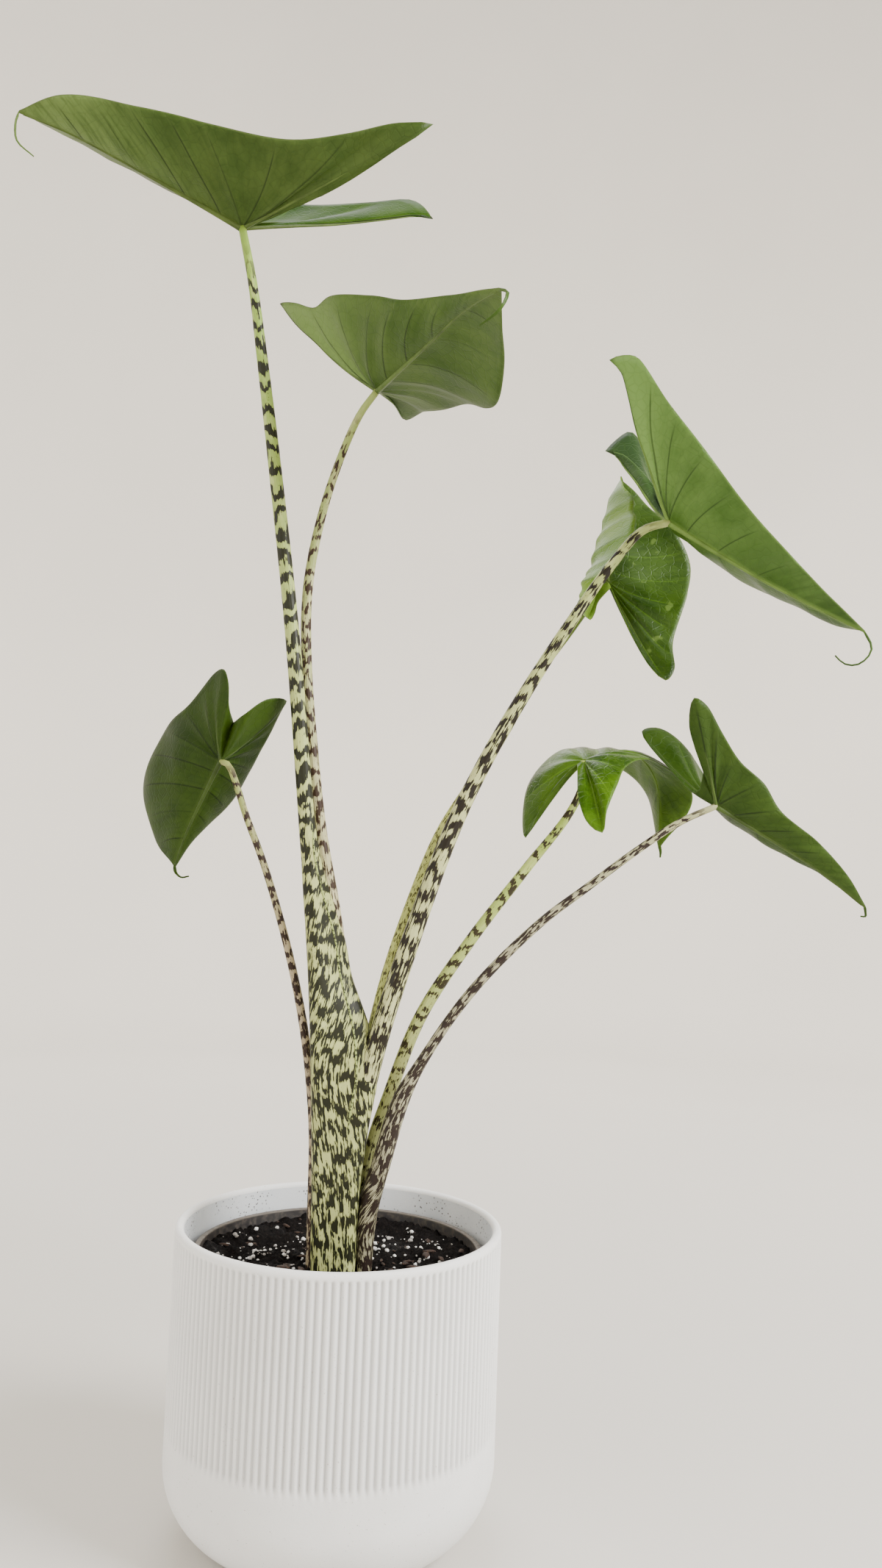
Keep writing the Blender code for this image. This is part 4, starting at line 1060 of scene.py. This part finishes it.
def vein_spacing(rows, counts):
    """Distance from each point to where the next vein would be, across the row."""
    spacing = np.zeros(rows.shape[:2])
    for i in range(len(rows)):
        low, high = max(0, i - 1), min(len(rows) - 1, i + 1)
        apart = rows[high] - rows[low]
        heading = rows[i, -1] - rows[i, 0]
        heading = heading / max(np.linalg.norm(heading), 1e-6)
        apart = apart - np.outer(apart @ heading, heading)
        spacing[i] = np.linalg.norm(apart, axis=1) / max(counts[high] - counts[low], 1e-3)
    return spacing


def blade_sheet(leaf, settings):
    """The middle sheet of a blade: points, their measures, faces, halves of the faces and lobe ribs."""
    points, measures, numbers, faces, halves, ribs = [], [], {}, [], [], []

    def number(point, measure):
        """Both halves share the points of the midrib."""
        key = (*np.round(point, 6), measure[0] >= LEFT_COUNTS and measure[2] > 1e-6)
        if key not in numbers:
            numbers[key] = len(points)
            points.append(point)
            measures.append(measure)
        return numbers[key]

    for half, side in enumerate(("left", "right")):
        rows, counts = half_rows(leaf, side, settings)
        spacing = vein_spacing(rows, counts)
        grid = []
        for i, row in enumerate(rows):
            from_start = np.linalg.norm(row - row[0], axis=1)
            from_end = np.linalg.norm(row - row[-1], axis=1)
            if i >= len(rows) - settings.tail_rows:
                from_start = from_end = np.full(len(row), 0.006)
            shown = counts[i] + (LEFT_COUNTS if side == "left" else 0.0)
            grid.append([number(p, (shown, spacing[i, k], from_start[k], from_end[k]))
                         for k, p in enumerate(row)])
        for near, far in zip(grid, grid[1:]):
            for k in range(len(near) - 1):
                corners = tuple(dict.fromkeys((near[k], near[k + 1], far[k + 1], far[k])))
                if len(corners) > 2:
                    faces.append(corners[::-1] if half else corners)
                    halves.append(half)
        ribs.append(rows[int(np.argmin(np.abs(counts - 1.0)))])
    return np.array(points), np.array(measures), faces, halves, ribs


def upward(points, faces):
    """Unit vectors towards the upper side of a sheet, at each point."""
    normals = np.zeros_like(points)
    for face in faces:
        a, b, c = (points[i] for i in face[:3])
        normal = np.cross(b - a, c - a)
        for i in face:
            normals[i] -= normal
    return normals / np.maximum(np.linalg.norm(normals, axis=1), 1e-12)[:, None]


def open_edges(faces):
    """Edges of a sheet that belong to one face alone."""
    edges = dict.fromkeys((a, b) for face in faces for a, b in zip(face, face[1:] + face[:1]))
    return [(a, b) for a, b in edges if (b, a) not in edges]


def build_blade(name, settings):
    """A thin shell round the blade's sheet, with raised ribs on its under side."""
    leaf = LEAVES[name]
    junction = np.array(leaf["junction"], float) * MM
    middle, measures, faces, halves, lobe_ribs = blade_sheet(leaf, settings)
    normals = upward(middle, faces)
    apart = np.abs((measures[:, 0] + 0.5) % 1.0 - 0.5) * measures[:, 1]
    ridge = np.exp(-(apart / 0.0016) ** 2) * smooth_step(measures[:, 3], 0.002, 0.02) * settings.vein_relief
    thick = settings.thickness / 2 * (0.45 + 0.55 * smooth_step(measures[:, 3], 0.0, 0.003))
    top = middle + normals * (thick - 0.6 * ridge)[:, None] + junction
    bottom = middle - normals * (thick + ridge)[:, None] + junction
    count = len(middle)
    under = [tuple(i + count for i in face) for face in faces]
    walls = [(a, b, b + count, a + count) for a, b in open_edges(faces)]
    all_points = list(top) + list(bottom)
    all_faces = [face[::-1] for face in faces] + under + walls
    if "left" in BLADE_SKINS[name]:
        sides, numbers = ("left", "right"), halves + halves + [0] * len(walls)
    else:
        sides, numbers = ("upper", "under"), [0] * len(faces) + [1] * (len(under) + len(walls))
    end_radius = STALKS[name][-1][3] * MM
    below = -unit(half_axes(leaf, "left")[2] + half_axes(leaf, "right")[2])
    lines = [(rib_curve(leaf, CURVE_STEPS), end_radius * 0.92, 0.00045, 0.98)]
    lines += [(line, end_radius * 0.62, 0.00035, 0.90) for line in lobe_ribs]
    for line, wide, narrow, share in lines:
        line = at_shares(line, np.linspace(0.0, share, RIB_ROWS))
        radius = wide + (narrow - wide) * np.linspace(0.0, 1.0, RIB_ROWS) ** 0.6
        route = np.column_stack([line + junction + below * (0.35 * radius)[:, None], radius])
        more_points, more_faces = closed_body(tube_rings(route, RIDGE_SIDES), first=len(all_points))
        all_points += more_points
        all_faces += more_faces
        numbers += [2] * len(more_faces)
    materials = [blade_material(name, side, settings) for side in sides] + [rib_material(name)]
    obj = mesh_object("blade_%s_skin" % name, all_points, all_faces, materials, "blade_" + name, numbers)
    plain = np.zeros((len(all_points) - 2 * count, 4))
    give(obj.data, "leaf", "FLOAT_COLOR", np.concatenate([measures, measures, plain]).ravel())


def add_light(name, place, size, power):
    lamp = bpy.data.lights.new(name, "AREA")
    lamp.energy = power
    lamp.size = size
    holder = bpy.data.objects.new(name, lamp)
    holder.location = place
    holder.rotation_euler = (Vector((0.05, 0.0, 0.4)) - Vector(place)).to_track_quat("-Z", "Y").to_euler()
    holder.visible_camera = False
    bpy.context.scene.collection.objects.link(holder)


def add_camera(settings):
    camera = bpy.data.cameras.new("photo_view")
    camera.sensor_fit = "VERTICAL"
    camera.sensor_width = 36.0
    camera.sensor_height = 36.0
    camera.lens = settings.lens
    camera.clip_end = 20.0
    holder = bpy.data.objects.new("photo_view", camera)
    pitch, roll = settings.pitch, settings.roll
    ahead = Vector((0.0, math.cos(pitch), math.sin(pitch)))
    level_up = Vector((0.0, -math.sin(pitch), math.cos(pitch)))
    right = Vector((1.0, 0.0, 0.0)) * math.cos(roll) + level_up * math.sin(roll)
    up = level_up * math.cos(roll) - Vector((1.0, 0.0, 0.0)) * math.sin(roll)
    turn = Matrix((right, up, -ahead)).transposed()
    holder.matrix_world = Matrix.Translation(Vector(settings.camera_place)) @ turn.to_4x4()
    bpy.context.scene.collection.objects.link(holder)
    bpy.context.scene.camera = holder


def build_stage(settings):
    """A pale round floor that rises into a pale wall, soft lights and the camera."""
    columns, bend, reach, wall_top, below = 96, 0.7, 2.8, 3.9, 0.0002
    line = [(0.0001, 0.0), (1.2, 0.0)] + arc(reach - bend, bend, bend, -90, 0, 12) + [(reach, wall_top)]
    points = [(x, y, z - below) for r, z in line for x, y in circle(r, columns)]
    mesh = bpy.data.meshes.new("floor")
    mesh.from_pydata(points, [], [f[::-1] for f in grid_faces(len(line), columns)])
    mesh.shade_smooth()
    mesh.materials.append(floor_material(tuple(settings.floor_colour)))
    floor = bpy.data.objects.new("floor", mesh)
    bpy.context.scene.collection.objects.link(floor)
    add_light("soft_key", (1.9, -0.9, 1.7), 1.1, settings.key_power)
    add_light("soft_fill", (-1.6, -1.2, 1.3), 1.6, settings.fill_power)
    add_light("soft_back", (-0.4, 1.5, 2.2), 1.4, settings.back_power)
    world = bpy.data.worlds.new("soft_room")
    world.use_nodes = True
    background = world.node_tree.nodes["Background"].inputs
    background["Color"].default_value = (1.0, 0.98, 0.95, 1.0)
    background["Strength"].default_value = settings.room_light
    bpy.context.scene.world = world
    add_camera(settings)


class CoverPotSettings(bpy.types.PropertyGroup):
    radius: bpy.props.FloatProperty(
        name="Radius", description="Outer radius of the cover pot", default=0.100, unit="LENGTH")
    height: bpy.props.FloatProperty(
        name="Height", description="Height of the cover pot", default=0.180, unit="LENGTH")
    wall: bpy.props.FloatProperty(
        name="Wall", description="Thickness of the wall at the rim", default=0.0055, unit="LENGTH")
    flutes: bpy.props.IntProperty(
        name="Flutes", description="Number of grooves round the wall", default=140, min=8)
    flute_depth: bpy.props.FloatProperty(
        name="Flute Depth", description="Depth of a groove", default=0.0014, unit="LENGTH")
    colour: bpy.props.FloatVectorProperty(
        name="Colour", description="Colour of the matt ceramic", subtype="COLOR",
        default=(0.80, 0.80, 0.79), min=0.0, max=1.0)


class NurseryPotSettings(bpy.types.PropertyGroup):
    radius: bpy.props.FloatProperty(
        name="Radius", description="Outer radius of the lip", default=0.0885, unit="LENGTH")
    top: bpy.props.FloatProperty(
        name="Top", description="Height of the lip above the ground", default=0.165, unit="LENGTH")
    lip: bpy.props.FloatProperty(
        name="Lip", description="Height of the lip's band", default=0.010, unit="LENGTH")
    wall: bpy.props.FloatProperty(
        name="Wall", description="Thickness of the plastic", default=0.0014, unit="LENGTH")


class PottingMixSettings(bpy.types.PropertyGroup):
    level: bpy.props.FloatProperty(
        name="Level", description="Mean height of the surface", default=0.1555, unit="LENGTH")
    lump: bpy.props.FloatProperty(
        name="Lumps", description="Height of the crumbs", default=0.0032, unit="LENGTH")
    grains: bpy.props.IntProperty(
        name="Perlite Grains", description="Number of white grains", default=430, min=0)
    bark: bpy.props.IntProperty(
        name="Bark Bits", description="Number of bark bits", default=110, min=0)
    colour: bpy.props.FloatVectorProperty(
        name="Colour", description="Colour of the peat", subtype="COLOR",
        default=(0.0034, 0.0026, 0.0023), min=0.0, max=1.0)


class StalkSettings(bpy.types.PropertyGroup):
    sides: bpy.props.IntProperty(
        name="Sides", description="Points round a stalk", default=24, min=6)
    step: bpy.props.FloatProperty(
        name="Step", description="Distance between rings", default=0.005, unit="LENGTH")
    cover: bpy.props.FloatProperty(
        name="Cover", description="How much of the skin the marks cover", default=1.0, min=0.0)


class BladeSettings(bpy.types.PropertyGroup):
    thickness: bpy.props.FloatProperty(
        name="Thickness", description="Thickness of a blade", default=0.0009, unit="LENGTH")
    vein_relief: bpy.props.FloatProperty(
        name="Vein Relief", description="Height of the side veins", default=0.0003, unit="LENGTH")
    pucker: bpy.props.FloatProperty(
        name="Pucker", description="Bulge of the blade between its veins", default=0.0012, unit="LENGTH")
    uneven: bpy.props.FloatProperty(
        name="Unevenness", description="Height of a blade's own gentle waves", default=0.0022, unit="LENGTH")
    across: bpy.props.IntProperty(
        name="Across", description="Faces from midrib to margin", default=22, min=4)
    rows_per_vein: bpy.props.IntProperty(
        name="Rows Per Vein", description="Rows between two side veins", default=9, min=2)
    tail_rows: bpy.props.IntProperty(
        name="Tail Rows", description="Rows along the thin tail", default=10, min=3)
    tint: bpy.props.FloatVectorProperty(
        name="Tint", description="Colour that all greens are multiplied by", subtype="COLOR",
        default=(1.0, 1.0, 1.0), min=0.0, max=2.0)


class StageSettings(bpy.types.PropertyGroup):
    floor_colour: bpy.props.FloatVectorProperty(
        name="Floor Colour", description="Colour of floor and wall", subtype="COLOR",
        default=(0.92, 0.88, 0.81), min=0.0, max=1.0)
    key_power: bpy.props.FloatProperty(
        name="Key Light", description="Power of the soft key light", default=125.0, unit="POWER")
    fill_power: bpy.props.FloatProperty(
        name="Fill Light", description="Power of the soft fill light", default=22.0, unit="POWER")
    back_power: bpy.props.FloatProperty(
        name="Back Light", description="Power of the soft back light", default=30.0, unit="POWER")
    room_light: bpy.props.FloatProperty(
        name="Room Light", description="Strength of the room's light", default=0.72, min=0.0)
    lens: bpy.props.FloatProperty(
        name="Lens", description="Focal length in millimetres", default=27.19, min=1.0)
    pitch: bpy.props.FloatProperty(
        name="Pitch", description="Camera tilt above the level", default=math.radians(4.8), unit="ROTATION")
    roll: bpy.props.FloatProperty(
        name="Roll", description="Camera roll", default=math.radians(2.1), unit="ROTATION")
    camera_place: bpy.props.FloatVectorProperty(
        name="Camera", description="Place of the camera", subtype="XYZ", default=(0.0526, -0.7540, 0.3903))


class PLANT_OT_cover_pot(bpy.types.Operator):
    """Add the fluted cover pot"""
    bl_idname = "plant.cover_pot"
    bl_label = "Cover Pot"

    def execute(self, context):
        build_cover_pot(context.scene.plant_cover_pot)
        return {"FINISHED"}


class PLANT_OT_nursery_pot(bpy.types.Operator):
    """Add the dark nursery pot that stands in the cover pot"""
    bl_idname = "plant.nursery_pot"
    bl_label = "Nursery Pot"

    def execute(self, context):
        build_nursery_pot(context.scene.plant_nursery_pot)
        return {"FINISHED"}


class PLANT_OT_potting_mix(bpy.types.Operator):
    """Add the potting mix with its perlite grains and bark bits"""
    bl_idname = "plant.potting_mix"
    bl_label = "Potting Mix"

    def execute(self, context):
        settings = context.scene.plant_potting_mix
        build_crumb(settings)
        scatter("perlite_grains", settings.grains, 11, (0.0004, 0.0021), (1.0, 0.85, 0.75), 0.35,
                perlite_material(), settings, 24)
        scatter("bark_bits", settings.bark, 23, (0.0010, 0.0042), (1.5, 0.6, 0.35), 0.25,
                bark_material(), settings, 20)
        return {"FINISHED"}


class PLANT_OT_corm(bpy.types.Operator):
    """Give the corm its skin"""
    bl_idname = "plant.corm"
    bl_label = "Corm"

    def execute(self, context):
        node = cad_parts["corm"]
        node.data.materials.clear()
        node.data.materials.append(corm_material())
        return {"FINISHED"}


class PLANT_OT_stalks(bpy.types.Operator):
    """Add the striped leaf stalks"""
    bl_idname = "plant.stalks"
    bl_label = "Stalks"

    def execute(self, context):
        for name in STALKS:
            build_stalk(name, context.scene.plant_stalks)
        for name in SHEATHS:
            build_sheath(name, context.scene.plant_stalks)
        build_seam()
        return {"FINISHED"}


class PLANT_OT_blades(bpy.types.Operator):
    """Add the arrow-shaped blades"""
    bl_idname = "plant.blades"
    bl_label = "Blades"

    def execute(self, context):
        for name in LEAVES:
            build_blade(name, context.scene.plant_blades)
        return {"FINISHED"}


class PLANT_OT_stage(bpy.types.Operator):
    """Add the floor, the soft lights and the camera"""
    bl_idname = "plant.stage"
    bl_label = "Stage"

    def execute(self, context):
        build_stage(context.scene.plant_stage)
        return {"FINISHED"}


SETTINGS = {
    "plant_cover_pot": CoverPotSettings,
    "plant_nursery_pot": NurseryPotSettings,
    "plant_potting_mix": PottingMixSettings,
    "plant_stalks": StalkSettings,
    "plant_blades": BladeSettings,
    "plant_stage": StageSettings,
}
OPERATORS = [PLANT_OT_cover_pot, PLANT_OT_nursery_pot, PLANT_OT_potting_mix, PLANT_OT_corm, PLANT_OT_stalks,
             PLANT_OT_blades, PLANT_OT_stage]


class PLANT_PT_panel(bpy.types.Panel):
    """Lists the pieces of the plant and their settings"""
    bl_idname = "PLANT_PT_panel"
    bl_label = "Potted Alocasia"
    bl_space_type = "VIEW_3D"
    bl_region_type = "UI"
    bl_category = "Plant"

    def draw(self, context):
        layout = self.layout
        for operator in OPERATORS:
            layout.operator(operator.bl_idname)
        for name in SETTINGS:
            box = layout.box()
            group = getattr(context.scene, name)
            for key in group.bl_rna.properties.keys():
                if key not in ("rna_type", "name"):
                    box.prop(group, key)


def register():
    for name, group in SETTINGS.items():
        bpy.utils.register_class(group)
        setattr(bpy.types.Scene, name, bpy.props.PointerProperty(type=group))
    for operator in OPERATORS:
        bpy.utils.register_class(operator)
    bpy.utils.register_class(PLANT_PT_panel)


def unregister():
    bpy.utils.unregister_class(PLANT_PT_panel)
    for operator in reversed(OPERATORS):
        bpy.utils.unregister_class(operator)
    for name, group in SETTINGS.items():
        delattr(bpy.types.Scene, name)
        bpy.utils.unregister_class(group)


def main():
    register()
    bpy.ops.plant.stage()
    bpy.ops.plant.cover_pot()
    bpy.ops.plant.nursery_pot()
    bpy.ops.plant.potting_mix()
    bpy.ops.plant.corm()
    bpy.ops.plant.stalks()
    bpy.ops.plant.blades()


if __name__ == "__main__":
    main()
